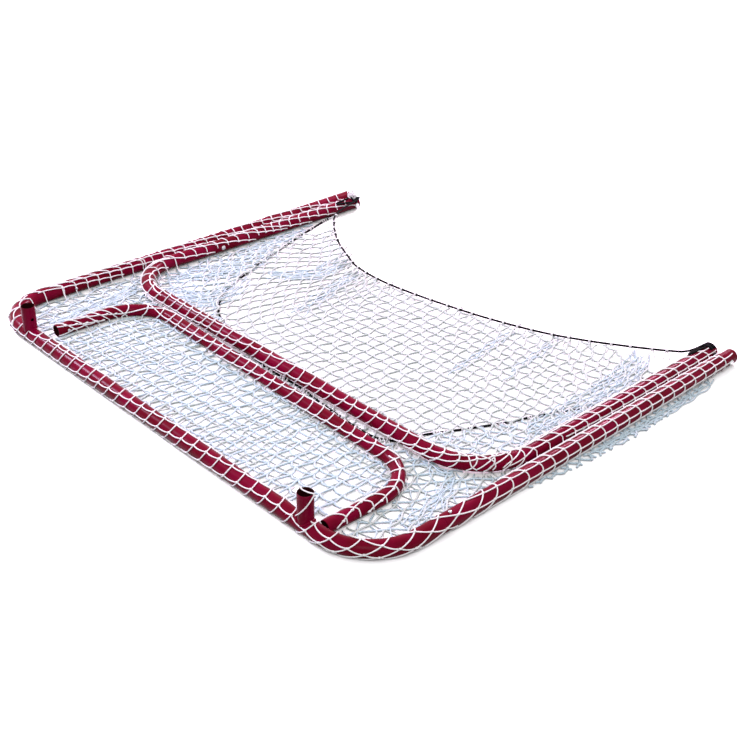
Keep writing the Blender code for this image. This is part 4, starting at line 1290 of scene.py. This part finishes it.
def side_round(on_arm, on_post, outer):
    """A round over the arm and the post: the two arcs, and the points of the span between them.

    The span is a straight line less a parabola, four times the sag times share times the rest.
    """
    arm_angles, post_angles = np.linspace(INNER_ANGLE, 32, 14), np.linspace(148, outer, 18)
    arm = tube_points(BASE, BASE_RADIUS, round_run(*on_arm, arm_angles), arm_angles)
    post = tube_points(FRONT, FRAME_RADIUS, round_run(*on_post, post_angles), post_angles)
    start, end = arm[0][-1], post[0][0]
    share = np.linspace(0, 1, SPAN_STEPS)[:, None]
    return arm, post, start + (end - start) * share - 4 * share * (1 - share) * np.array([0, 0, SPAN_SAG])


def groove_strands(spans, side):
    """Strands that lie along the groove and join the spans, pressed thin in x.

    Every ring of the spans stands square to x, and these strands are flat in x.
    """
    blocks = []
    for step, drop in zip(GROOVE_STEPS, GROOVE_DROPS if side > 0 else GROOVE_DROPS[::-1]):
        line = spans[:, step] - np.array([0, 0, drop])
        block = line_block(through(line[None], 6)[0], (side, 0.05, 0.0))
        middle = line[:, 0].mean()
        block["points"][:, 0] = middle + 0.06 * (block["points"][:, 0] - middle)
        blocks.append(block)
    return blocks


side_starts = {"left": np.arange(0.034, 0.70, LEFT_SPACING), "right": 2.195 + np.arange(0, 0.69, RIGHT_SPACING)}
arm_rounds, post_rounds = {}, {}
for word, side in (("left", -1), ("right", 1)):
    places = [side_places(word, start) for start in side_starts[word]]
    arm_rounds[word], post_rounds[word] = (list(rounds) for rounds in zip(*places))
    spans = []
    for on_arm, on_post in places:
        arm, post, span = side_round(on_arm, on_post, OUTER_ANGLES[word])
        base_blocks.append(line_block(*arm))
        front_blocks.append(line_block(*post))
        spans.append(span)
    spans = np.array(spans)
    up = np.broadcast_to([0.0, 0.0, 1.0], spans.shape)
    side_blocks = [strand_block(spans, up, TWINE_RADIUS, 6, flat_way=(side, 0, 0))] + groove_strands(spans, side)
    net = piece_of_blocks(word + "_side_net_spans", side_blocks, TWINE)
    near, far = float(spans[:, 0, 0].mean()), float(spans[:, -1, 0].mean())
    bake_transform(net)
front_blocks += tube_net(FRONT, FRAME_RADIUS, post_rounds["right"] + crossbar_rounds[-12:], RIGHT_POST_ALONGS, 2.5)
lone_rounds = front_rounds(LONE_ROUNDS, 0.004)
for place in lone_rounds:
    front_blocks.append(line_block(*make_round(FRONT, FRAME_RADIUS, place, -50, 190, (None, (0.010, 0.03)))))
front_blocks += tube_net(FRONT, FRAME_RADIUS, post_rounds["left"] + lone_rounds, LEFT_POST_ALONGS, 5.0)
base_blocks += tube_net(BASE, BASE_RADIUS, arm_rounds["right"], RIGHT_ARM_ALONGS, 2.5)
base_blocks += tube_net(BASE, BASE_RADIUS, arm_rounds["left"], LEFT_ARM_ALONGS, 5.0)
front_net = piece_of_blocks("front_frame_net_strands", front_blocks, TWINE)
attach(front_net, "front_frame")
base_net_wrap = piece_of_blocks("base_frame_net_strands", base_blocks, TWINE)
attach(base_net_wrap, "base_frame")
print("side rounds:", len(side_starts["left"]), "and", len(side_starts["right"]))

# %% [markdown]
# Between the tubes the net lies slack on the floor. A table gives the place of every fourth
# knot along the folds, and a smooth curve through them both ways gives the rest. Each knot is
# then shifted to and fro in turn, and each crossways strand sags from knot to knot, so that the
# meshes look slack. A mask says where a patch of net is kept.

# %% Patches of net on the floor
def smooth(value, low, high):
    """0 below low, 1 above high, and the smoothstep curve between."""
    t = np.clip((value - low) / (high - low), 0, 1)
    return t * t * (3 - 2 * t)


def plan_distance(line, spots):
    """Each spot's distance from a centre line seen from above, and the side: below 0 is inside."""
    runs = np.linspace(0, line["run"][-1], 420)
    centre, side = along_line(line, runs)
    gap = spots[:, None, :2] - centre[None, :, :2]
    reach = np.linalg.norm(gap, axis=-1)
    near = reach.argmin(axis=1)
    pick = np.arange(len(spots))
    return reach[pick, near], np.einsum("ij,ij->i", gap[pick, near], side[near, :2])


def warped_grid(table, zig=(0.0034, 0.0018), noise=0.0019, lift=0.002):
    """All knots of a slack net from every fourth one, by the curve through them both ways.

    table[column][row] is a spot with the crossbar's middle as y = 0. Each knot is then shifted
    by plus or minus zig in turn, and by normal noise.
    """
    fine = through(np.array(table, float), 4)
    fine = through(fine.transpose(1, 0, 2), 4).transpose(1, 0, 2)
    i, j = np.indices(fine.shape[:2])
    flip = np.where((i + j) % 2, 1.0, -1.0)
    x = fine[..., 0] + zig[0] * flip + NET_RANDOM.normal(0, noise, i.shape)
    y = fine[..., 1] + CROSSBAR_Y + zig[1] * flip + NET_RANDOM.normal(0, noise, i.shape)
    return np.stack([x, y, SLACK_RADIUS + NET_RANDOM.uniform(0, lift, i.shape)], axis=-1)


def turned_table(centre, turn_degrees, half, cell):
    """A table of square cells, turned about its centre."""
    steps = np.arange(-half, half + cell, 4 * cell)
    turn = radians(turn_degrees)
    return [
        [(centre[0] + u * cos(turn) - v * sin(turn), centre[1] + u * sin(turn) + v * cos(turn)) for v in steps]
        for u in steps
    ]


def thin_in_y(block, sides, thin):
    """Press each ring of a block towards its middle along y."""
    rings = block["points"].reshape(-1, sides, 3)
    middle = rings[..., 1].mean(axis=1, keepdims=True)
    rings[..., 1] = middle + thin * (rings[..., 1] - middle)
    block["points"] = rings.reshape(-1, 3)
    return block


def net_patch(knots, mask, drape=lambda spots: spots, sag=0.0075, thin=1.0):
    """A patch's blocks: strands through the knots both ways, cut by the mask, and the knots."""
    steps, sides, blocks = 6, 5, []
    for grid, hang in ((knots, 0.0), (knots.transpose(1, 0, 2), sag)):
        strands = through(grid, steps)
        share = np.arange(strands.shape[1]) % steps / steps
        strands[..., 1] -= hang * 4 * share * (1 - share)
        for strand in strands:
            keep = np.concatenate([[False], mask(strand), [False]])
            edges = np.nonzero(np.diff(keep.astype(int)))[0]
            for first, last in zip(edges[::2], edges[1::2]):
                if last - first >= 3:
                    block = line_block(drape(strand[first:last]), SLACK_UP, SLACK_RADIUS, sides)
                    blocks.append(thin_in_y(block, sides, thin if hang else 1.0))
    spots, ways = knots[:, :-1].reshape(-1, 3), np.diff(knots, axis=1).reshape(-1, 3)
    spots = drape(spots)
    keep = mask(spots)
    up = np.broadcast_to(SLACK_UP, (int(keep.sum()), 3))
    blocks.append(thin_in_y(knot_block(spots[keep], ways[keep], up, 0.8), sides, thin))
    return blocks


def fold(way, count, pitch, cell=0.034, lift=0.0012):
    """A gathered fold: strands side by side along a line, joined in turn with either neighbour.

    A strand's offset from the line is its number times the pitch, plus or minus half a pitch
    times the cosine of pi times the run over the cell, which closes the meshes up.
    """
    spots = base_plane([(x, y, 0.0) for x, y in way])
    line = through(spots[None], 10)[0]
    run = run_of(line)
    tangent = np.gradient(line, axis=0)
    tangent /= np.linalg.norm(tangent, axis=-1, keepdims=True)
    aside = np.stack([tangent[:, 1], -tangent[:, 0], 0 * run], axis=-1)
    breadth = 0.75 + 0.25 * np.sin(run / run[-1] * pi)
    blocks = []
    for strand in range(count):
        phase, slow = NET_RANDOM.uniform(-0.25, 0.25), NET_RANDOM.uniform(0, 2 * pi)
        offset = (strand - (count - 1) / 2) * pitch * breadth
        offset = offset + (-1) ** strand * pitch * 0.55 * np.cos(pi * (run / cell + phase))
        offset = offset + pitch * 0.6 * np.sin(run / 0.11 + slow)
        points = line + aside * offset[:, None]
        points[:, 2] = SLACK_RADIUS + lift * (strand % 3) + lift * 0.5 * (1 + np.sin(run / 0.04 + slow))
        first, last = (NET_RANDOM.uniform(0, 0.22, 2) * len(run)).astype(int)
        blocks.append(line_block(points[first : len(run) - last], SLACK_UP, SLACK_RADIUS * 0.7, 5))
    return blocks


print("slack net helpers ready")

# %% [markdown]
# The single layer inside the base frame is laced to the rim cord. Its columns stand straight
# in the middle, lean to the left on the right side, and fan out on the left, where they are
# drawn together at the cord's lowest point. Beyond the inner cord, on both sides, a second
# layer lies over it, and a few folds are gathered up along the cord and the arms.

# %% The single layer inside the base frame
FLAP_TABLE = [
    [(-0.70, 0.76), (-0.65, 0.86), (-0.585, 0.95), (-0.51, 1.03), (-0.44, 1.12), (-0.37, 1.20), (-0.30, 1.29)],
    [(-0.65, 0.65), (-0.575, 0.755), (-0.495, 0.855), (-0.42, 0.945), (-0.36, 1.05), (-0.32, 1.16), (-0.28, 1.27)],
    [(-0.535, 0.545), (-0.475, 0.66), (-0.41, 0.765), (-0.345, 0.87), (-0.30, 0.99), (-0.28, 1.12), (-0.26, 1.25)],
    [(-0.41, 0.425), (-0.37, 0.54), (-0.33, 0.665), (-0.285, 0.79), (-0.26, 0.91), (-0.25, 1.04), (-0.24, 1.18)],
    [(-0.275, 0.31), (-0.255, 0.445), (-0.235, 0.58), (-0.21, 0.71), (-0.205, 0.845), (-0.21, 0.98), (-0.215, 1.12)],
    [(-0.125, 0.285), (-0.125, 0.42), (-0.115, 0.555), (-0.115, 0.69), (-0.125, 0.825), (-0.135, 0.96), (-0.145, 1.10)],
    [(0.0, 0.285), (0.0, 0.42), (0.005, 0.555), (0.0, 0.69), (-0.005, 0.825), (-0.01, 0.96), (-0.02, 1.10)],
    [(0.125, 0.285), (0.125, 0.42), (0.13, 0.555), (0.125, 0.69), (0.115, 0.825), (0.10, 0.96), (0.09, 1.10)],
    [(0.25, 0.285), (0.25, 0.42), (0.25, 0.55), (0.24, 0.685), (0.22, 0.82), (0.195, 0.955), (0.17, 1.09)],
    [(0.375, 0.285), (0.375, 0.42), (0.37, 0.55), (0.355, 0.68), (0.33, 0.81), (0.30, 0.94), (0.275, 1.07)],
    [(0.50, 0.285), (0.50, 0.41), (0.49, 0.54), (0.47, 0.67), (0.44, 0.80), (0.405, 0.93), (0.365, 1.06)],
    [(0.62, 0.285), (0.62, 0.41), (0.61, 0.54), (0.585, 0.665), (0.55, 0.79), (0.51, 0.92), (0.465, 1.05)],
    [(0.74, 0.285), (0.74, 0.41), (0.73, 0.54), (0.70, 0.66), (0.66, 0.78), (0.615, 0.91), (0.565, 1.04)],
    [(0.86, 0.30), (0.86, 0.42), (0.84, 0.55), (0.81, 0.67), (0.77, 0.79), (0.72, 0.92), (0.67, 1.05)],
]
FLAP_FOLDS = [
    ([(-0.385, 0.95), (-0.365, 0.87), (-0.355, 0.80), (-0.39, 0.74), (-0.45, 0.68)], 10, 0.0070),
    ([(-0.285, 0.89), (-0.262, 0.80), (-0.235, 0.70), (-0.195, 0.57)], 5, 0.0085),
    ([(-0.56, 0.43), (-0.48, 0.435), (-0.42, 0.47), (-0.43, 0.55), (-0.48, 0.64)], 11, 0.0072),
    ([(-0.59, 0.44), (-0.57, 0.54), (-0.55, 0.62), (-0.535, 0.70), (-0.56, 0.80)], 8, 0.0100),
    ([(0.51, 1.13), (0.555, 1.05), (0.578, 0.95), (0.588, 0.85), (0.592, 0.75), (0.602, 0.58)], 13, 0.0060),
    ([(0.235, 0.972), (0.255, 0.87), (0.275, 0.76), (0.295, 0.64)], 3, 0.0060),
    ([(0.340, 1.01), (0.360, 0.93), (0.375, 0.84), (0.395, 0.72)], 3, 0.0070),
    ([(-0.61, 0.97), (-0.60, 0.87), (-0.605, 0.79), (-0.60, 0.66)], 6, 0.0075),
]
RIM_SLOPE = 0.075
OVER_CORD_FROM, OVER_CORD_AT = 0.030, 0.004
SECOND_LAYER_GAP = 0.010
inner_line = through(inner_points[None], 6)[0]


def flap_mask(spots):
    """True on the floor inside the base frame's U and short of the rim cord."""
    reach, side = plan_distance(BASE, spots)
    rim = np.interp(spots[:, 0], rim_middle[:, 0], rim_middle[:, 1])
    return (side < 0) & (reach > BASE_RADIUS - 0.004) & (spots[:, 1] < rim - 0.003)


def drape_flap(spots):
    """Lift the net smoothly to the rim cord it is laced to, and over the inner cord."""
    spots = spots.copy()
    rim_y, rim_z = (np.interp(spots[:, 0], rim_middle[:, 0], rim_middle[:, axis]) for axis in (1, 2))
    under = rim_z - CORD_RADIUS - 2 * SLACK_RADIUS
    spots[:, 2] += under * smooth(spots[:, 1], rim_y - RIM_SLOPE, rim_y)
    gap = np.linalg.norm(spots[:, None, :2] - inner_line[None, :, :2], axis=-1).min(axis=1)
    over = INNER_CORD_HEIGHT + CORD_RADIUS + SLACK_RADIUS
    spots[:, 2] = np.maximum(spots[:, 2], over * smooth(-gap, -OVER_CORD_FROM, -OVER_CORD_AT))
    return spots


def beyond_inner_cord(spots, side):
    """True between the inner cord and the arm on one side."""
    part = inner_points[:12][::-1] if side < 0 else inner_points[16:]
    edge = np.interp(spots[:, 1], part[:, 1], part[:, 0])
    return flap_mask(spots) & ((spots[:, 0] - edge) * side > SECOND_LAYER_GAP)


flap_blocks = net_patch(warped_grid(FLAP_TABLE), flap_mask, drape_flap)
flap = piece_of_blocks("base_net_flap", flap_blocks, SHADED_SLACK_TWINE)
fold_blocks = []
for side, centre, turn_degrees in ((-1, (-0.5, 0.75), -28), (1, (0.55, 0.65), 24)):
    second = warped_grid(turned_table(centre, turn_degrees, 0.42, 0.031), (0.004, 0.004), 0.003)
    fold_blocks += net_patch(second, lambda spots: beyond_inner_cord(spots, side), drape_flap)
for way, count, pitch in FLAP_FOLDS:
    fold_blocks += fold(way, count, pitch)
flap_folds = piece_of_blocks("base_net_folds", fold_blocks, SHADED_FOLD_TWINE)
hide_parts("base_net")
for piece in (flap, flap_folds):
    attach(piece, "base_frame")
print("flap triangles about", sum(len(block["quads"]) for block in flap_blocks) * 2)

# %% [markdown]
# Where the net meets a cord, a strand takes a turn round it, so the black cord shows in
# dashes. A turn is a helix about the cord's own line: its radius is the cord's and the
# twine's together, and it moves on by one twine's width. Both its ends go down into the net.
# A few loose loops of twine lie over the lashing on the left arm's end.

# %% Turns of twine round the cords
LOOSE_LOOPS = 9


def turn_round(line, spot, turns, reach, poke=0.0):
    """One strand's turn round a cord at a spot on its line, its ends lying out on the net's side.

    A poke pulls the turn out to a small loop on the cord's far side.
    """
    way = line[spot + 1] - line[spot - 1]
    way /= np.linalg.norm(way)
    out = np.cross(way, (0.0, 0.0, 1.0))
    out /= np.linalg.norm(out)
    lift = np.cross(out, way)
    angle = np.linspace(-0.2 * pi, 2 * pi * turns + 0.2 * pi, int(14 * turns))
    radius = CORD_RADIUS + TWINE_RADIUS * 0.8 + poke * np.clip(-np.cos(angle), 0, 1) ** 3
    drift = TWINE_RADIUS * 2.1 * (angle / (2 * pi) - turns / 2)
    coil = line[spot] + out * (radius * np.cos(angle))[:, None] + lift * (radius * np.sin(angle))[:, None]
    coil = coil + way * drift[:, None]
    ends = [coil[end] + out * reach + way * shift for end, shift in ((0, -0.006), (-1, 0.006))]
    for end in ends:
        end[2] = max(SLACK_RADIUS, end[2] - 0.012)
    points = through(np.concatenate([[ends[0]], coil, [ends[1]]])[None], 2)[0]
    points[:, 2] = np.maximum(points[:, 2], TWINE_RADIUS)
    return line_block(points, (0.13, 0.17, 0.95), TWINE_RADIUS * 0.9, 5)


def loose_loop():
    """A nearly closed oval of twine on the left arm's end, tilted and shifted at random."""
    tilt, swing = NET_RANDOM.uniform(-0.9, 0.9), NET_RANDOM.uniform(0, pi)
    first = np.array([cos(swing), sin(swing), 0.0])
    second = np.array([-sin(swing) * cos(tilt), cos(swing) * cos(tilt), abs(sin(tilt)) + 0.3])
    middle = np.array([-ARM_X, ARM_END_Y - 0.016, HINGE_Z + BASE_RADIUS + 0.009])
    middle = middle + NET_RANDOM.uniform(-0.008, 0.008, 3)
    turn = np.linspace(0, 2 * pi * 0.97, 16)[:, None]
    loop = middle + 0.011 * first * np.cos(turn) + 0.009 * second * np.sin(turn)
    return line_block(loop, np.cross(first, second), TWINE_RADIUS, 5)


turn_blocks = []
rim_line = through(rim_middle[None], 40)[0]
rim_run = run_of(rim_line)
place = 0.02
while place < rim_run[-1] - 0.02:
    spot = int(np.searchsorted(rim_run, place))
    poke = 0.010 if NET_RANDOM.uniform() < 0.35 else 0.0
    turn_blocks.append(turn_round(rim_line, spot, 1.5, 0.022, poke))
    place += NET_RANDOM.uniform(0.034, 0.056)
inner_dense = through(inner_points[None], 24)[0]
inner_run = run_of(inner_dense)
place = 0.03
while place < inner_run[-1] - 0.03:
    for shift in (0.0, 0.009, 0.018):
        spot = int(np.searchsorted(inner_run, min(place + shift, inner_run[-1] - 0.01)))
        turn_blocks.append(turn_round(inner_dense, spot, 1.0, 0.016))
    place += NET_RANDOM.uniform(0.060, 0.085)
for _ in range(LOOSE_LOOPS):
    turn_blocks.append(loose_loop())
cord_turns = piece_of_blocks("cord_twine_turns", turn_blocks, TWINE)
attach(cord_turns, "base_frame")
print("turns round the cords:", len(turn_blocks))

# %% [markdown]
# Between the crossbar and the base bar the net lies gathered, in two or three layers whose
# meshes don't match. The upper one lies inside the shelf, the lower one is the main net. The
# main net is stretched about five times along y when the goal stands, and the lower layer's
# crossways strands are pressed thin that way.

# %% The gathered net in the bay
BAY_TABLE = [
    [(-0.74, 0.0), (-0.72, 0.13), (-0.69, 0.27), (-0.65, 0.41), (-0.61, 0.55)],
    [(-0.60, 0.0), (-0.58, 0.13), (-0.55, 0.265), (-0.51, 0.40), (-0.47, 0.54)],
    [(-0.46, 0.0), (-0.445, 0.135), (-0.42, 0.27), (-0.385, 0.405), (-0.35, 0.54)],
    [(-0.32, 0.0), (-0.31, 0.14), (-0.29, 0.275), (-0.26, 0.41), (-0.23, 0.54)],
    [(-0.18, 0.0), (-0.175, 0.14), (-0.165, 0.28), (-0.15, 0.42), (-0.13, 0.55)],
    [(-0.04, 0.0), (-0.04, 0.14), (-0.035, 0.28), (-0.03, 0.42), (-0.02, 0.55)],
    [(0.10, 0.0), (0.10, 0.14), (0.10, 0.28), (0.10, 0.42), (0.10, 0.55)],
    [(0.24, 0.0), (0.24, 0.14), (0.235, 0.28), (0.23, 0.42), (0.22, 0.56)],
    [(0.38, -0.005), (0.38, 0.14), (0.37, 0.285), (0.355, 0.43), (0.33, 0.57)],
    [(0.53, -0.01), (0.52, 0.14), (0.49, 0.29), (0.455, 0.44), (0.42, 0.58)],
    [(0.69, 0.03), (0.66, 0.165), (0.60, 0.31), (0.545, 0.46), (0.49, 0.60)],
    [(0.85, 0.09), (0.80, 0.22), (0.73, 0.36), (0.67, 0.50), (0.61, 0.63)],
]
BAY_FOLDS = [
    ([(-0.565, 0.055), (-0.572, 0.14), (-0.585, 0.23), (-0.60, 0.31), (-0.625, 0.38)], 8, 0.0060),
    ([(0.60, 0.36), (0.625, 0.29), (0.645, 0.21), (0.655, 0.14)], 6, 0.0062),
    ([(0.50, 0.345), (0.56, 0.345), (0.60, 0.37)], 5, 0.0060),
]
OUTSIDE_FOLD = [(0.731, 0.62), (0.736, 0.75), (0.740, 0.90), (0.737, 1.02), (0.731, 1.12)]
OUTSIDE_FROM_Y, OUTSIDE_LENGTH, OUTSIDE_WIDTH = CROSSBAR_Y + 0.42, 0.72, 0.036


def bay_mask(spots):
    """True inside the front frame, outside the base frame, and clear of the shelf's tube."""
    front_reach, front_side = plan_distance(FRONT, spots)
    base_reach, base_side = plan_distance(BASE, spots)
    shelf_reach, _ = plan_distance(SHELF, spots)
    off_front = (front_side < 0) & (front_reach > FRAME_RADIUS - 0.003)
    off_base = (base_side > 0) & (base_reach > BASE_RADIUS - 0.004)
    return off_front & off_base & (shelf_reach > SHELF_RADIUS - 0.002) & (spots[:, 1] < ARM_JOINT_Y)


def shelf_bay_mask(spots):
    """True inside the shelf's U."""
    _, side = plan_distance(SHELF, spots)
    return bay_mask(spots) & (side > 0) & (np.abs(spots[:, 0] - SHELF_PIVOT.x) < 0.5)


def right_corner_mask(spots):
    """True between the shelf's right leg and the right post."""
    return bay_mask(spots) & (spots[:, 0] > 0.40) & ~shelf_bay_mask(spots)


def left_corner_mask(spots):
    """True between the shelf's left leg and the left post."""
    return bay_mask(spots) & (spots[:, 0] < -0.48) & ~shelf_bay_mask(spots)


def outside_mask(spots):
    """True in a crescent on the floor outside the right post, 36 mm at its widest."""
    rise = np.clip((spots[:, 1] - OUTSIDE_FROM_Y) / OUTSIDE_LENGTH, 0, 1)
    past = spots[:, 0] - POST_X - 0.8 * FRAME_RADIUS
    return (past > 0) & (past < OUTSIDE_WIDTH * np.sin(rise * pi) ** 0.7) & (rise > 0) & (rise < 1)


upper = warped_grid(turned_table((0.02, 0.19), 3, 0.62, 0.034), noise=0.0022, lift=0.004)
upper_layer = piece_of_blocks("bay_net_upper_layer", net_patch(upper, shelf_bay_mask), SHADED_FOLD_TWINE)
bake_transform(upper_layer)
bay_blocks = net_patch(warped_grid(BAY_TABLE, (0.0035, 0.0012), 0.0020), bay_mask, sag=0.003, thin=0.4)
outside = fold(OUTSIDE_FOLD, 4, 0.0050)
crescent = warped_grid(turned_table((0.74, 0.80), 32, 0.40, 0.022), (0.002, 0.002), 0.002)
outside += net_patch(crescent, outside_mask, sag=0.003)
outside = piece_of_blocks("right_post_net_fold", outside, SHADED_FOLD_TWINE)
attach(outside, "front_frame")
corner_blocks = []
for centre, turn_degrees, cell, mask in (
    ((0.6, 0.25), -34, 0.030, right_corner_mask),
    ((-0.6, 0.25), 21, 0.033, left_corner_mask),
):
    corner = warped_grid(turned_table(centre, turn_degrees, 0.32, cell), noise=0.003)
    corner_blocks += net_patch(corner, mask, sag=0.004, thin=0.4)
for way, count, pitch in BAY_FOLDS:
    corner_blocks += fold(way, count, pitch)
lower_layer = piece_of_blocks("bay_net_lower_layer", bay_blocks, SHADED_SLACK_TWINE)
corner_folds = piece_of_blocks("bay_net_corner_folds", corner_blocks, SHADED_FOLD_TWINE)
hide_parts("main_net")
for piece in (lower_layer, corner_folds):
    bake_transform(piece)
print("gathered net strands:", len(bay_blocks) + len(corner_blocks))

# %% [markdown]
# The goal lies on a wide white floor. The lamps light that floor to a light grey, so its
# colour is raised for what the camera, mirrors and glass see, which keeps the soft shadow
# under the tubes while the open floor turns white. The white room behind is seen at strength
# 1. What lights the goal is dimmer, and falls off from overhead down to the horizon, so that
# the tubes' lower sides stay dark.

# %% The floor and the background
FLOOR_LIFT, FLOOR_TONE, FLOOR_HALF = 1.35, 0.06, 30.0
ROOM_LIGHT, HORIZON_LIGHT, ROOM_LIGHT_FROM_Z = 0.88, 0.3, 0.55


def white_floor():
    """Pale studio floor: what the camera sees is lifted to white, what lights the goal isn't."""
    material, tree, _ = new_material("white_studio_floor", "E4E4E4", 0.9)
    seen, dim, lifted = seen_directly(tree), (*[FLOOR_TONE] * 3, 1), (*[FLOOR_LIFT] * 3, 1)
    tone = add(tree, "ShaderNodeMix", {"Factor": seen, "A": dim, "B": lifted}, data_type="RGBA")
    matte = add(tree, "ShaderNodeBsdfDiffuse", {"Color": tone.outputs["Result"]})
    feed(tree, tree.nodes["Material Output"], {"Surface": matte.outputs["BSDF"]})
    return material


floor_points = [(x * FLOOR_HALF, y * FLOOR_HALF, -FLOOR_GAP) for x, y in ((-1, -1), (1, -1), (1, 1), (-1, 1))]
floor = make_piece("studio_floor", floor_points, [[0, 1, 2, 3]], white_floor())
if floor.data.polygons[0].normal.z < 0:
    floor.data.flip_normals()

world = bpy.data.worlds.new("white_studio")
bpy.context.scene.world = world
world.use_nodes = True
sky = world.node_tree
upward = add(sky, "ShaderNodeSeparateXYZ", {"Vector": add(sky, "ShaderNodeTexCoord").outputs["Generated"]})
falloff = {"From Max": ROOM_LIGHT_FROM_Z, "To Min": HORIZON_LIGHT, "To Max": ROOM_LIGHT}
lit = add(sky, "ShaderNodeMapRange", {"Value": upward.outputs["Z"], **falloff}).outputs["Result"]
strength = add(sky, "ShaderNodeMix", {"Factor": seen_directly(sky), "A": lit, "B": 1.0}).outputs["Result"]
feed(sky, sky.nodes["Background"], {"Color": linear("FFFFFF"), "Strength": strength})
print("floor and background made")

# %% [markdown]
# Gloss tubes are drawn by what they reflect. Two long soft lamps stand high on the left and
# behind, where the bars and the posts mirror them towards the camera as pale streaks along
# their tops. A wide weak lamp in front fills in the sides that face the camera.

# %% Soft lamps
def soft_lamp(name, spot, target, width, height, power, hexcode):
    """A rectangular lamp that faces a point."""
    light = bpy.data.lights.new(name, "AREA")
    light.shape, light.size, light.size_y, light.energy = "RECTANGLE", width, height, power
    light.color = linear(hexcode)[:3]
    lamp = bpy.data.objects.new(name, light)
    lamp.location = spot
    lamp.rotation_euler = (Vector(target) - Vector(spot)).to_track_quat("-Z", "Y").to_euler()
    bpy.context.scene.collection.objects.link(lamp)


soft_lamp("left_soft_lamp", (-3.2, -1.3, 2.15), (-0.3, -0.4, 0.0), 0.95, 0.3, 150, "EBDCFF")
soft_lamp("back_soft_lamp", (-1.1, 3.0, 2.0), (0.6, 0.2, 0.0), 0.95, 0.3, 125, "FFD2F0")
soft_lamp("front_soft_lamp", (2.6, -2.8, 3.4), (0.0, 0.0, 0.0), 2.2, 2.2, 80, "FBFBFF")
print("lamps made")

# %% [markdown]
# The camera stands off the goal's front right corner, about 2.8 m from its target and 1.4 m
# above the floor, and is rolled by about one degree. Its place and lens were fitted to the
# straight edges of the tubes in the photograph.

# %% The camera
CAMERA_AROUND = radians(46.17)
CAMERA_ABOVE = radians(29.82)
CAMERA_ROLL = radians(1.2)
CAMERA_DISTANCE = 2.849
CAMERA_TARGET = Vector((0.1854, -0.0905, 0.015))
IMAGE_WIDTH_PX = 750
FOCAL_PX = 1192.79

back = Vector((sin(CAMERA_AROUND) * cos(CAMERA_ABOVE), -cos(CAMERA_AROUND) * cos(CAMERA_ABOVE), sin(CAMERA_ABOVE)))
level = Vector((cos(CAMERA_AROUND), sin(CAMERA_AROUND), 0))
aside = level * cos(CAMERA_ROLL) + back.cross(level) * sin(CAMERA_ROLL)
lens = bpy.data.cameras.new("photo_camera")
lens.sensor_width = 36.0
lens.lens = FOCAL_PX / IMAGE_WIDTH_PX * lens.sensor_width
camera = bpy.data.objects.new("photo_camera", lens)
axes = Matrix((aside, back.cross(aside), back)).transposed().to_4x4()
camera.matrix_world = Matrix.Translation(CAMERA_TARGET + back * CAMERA_DISTANCE) @ axes
bpy.context.scene.collection.objects.link(camera)
bpy.context.scene.camera = camera
bpy.context.scene.view_settings.view_transform = "Standard"
print("camera at", tuple(round(part, 3) for part in camera.location), "lens", round(lens.lens, 2))
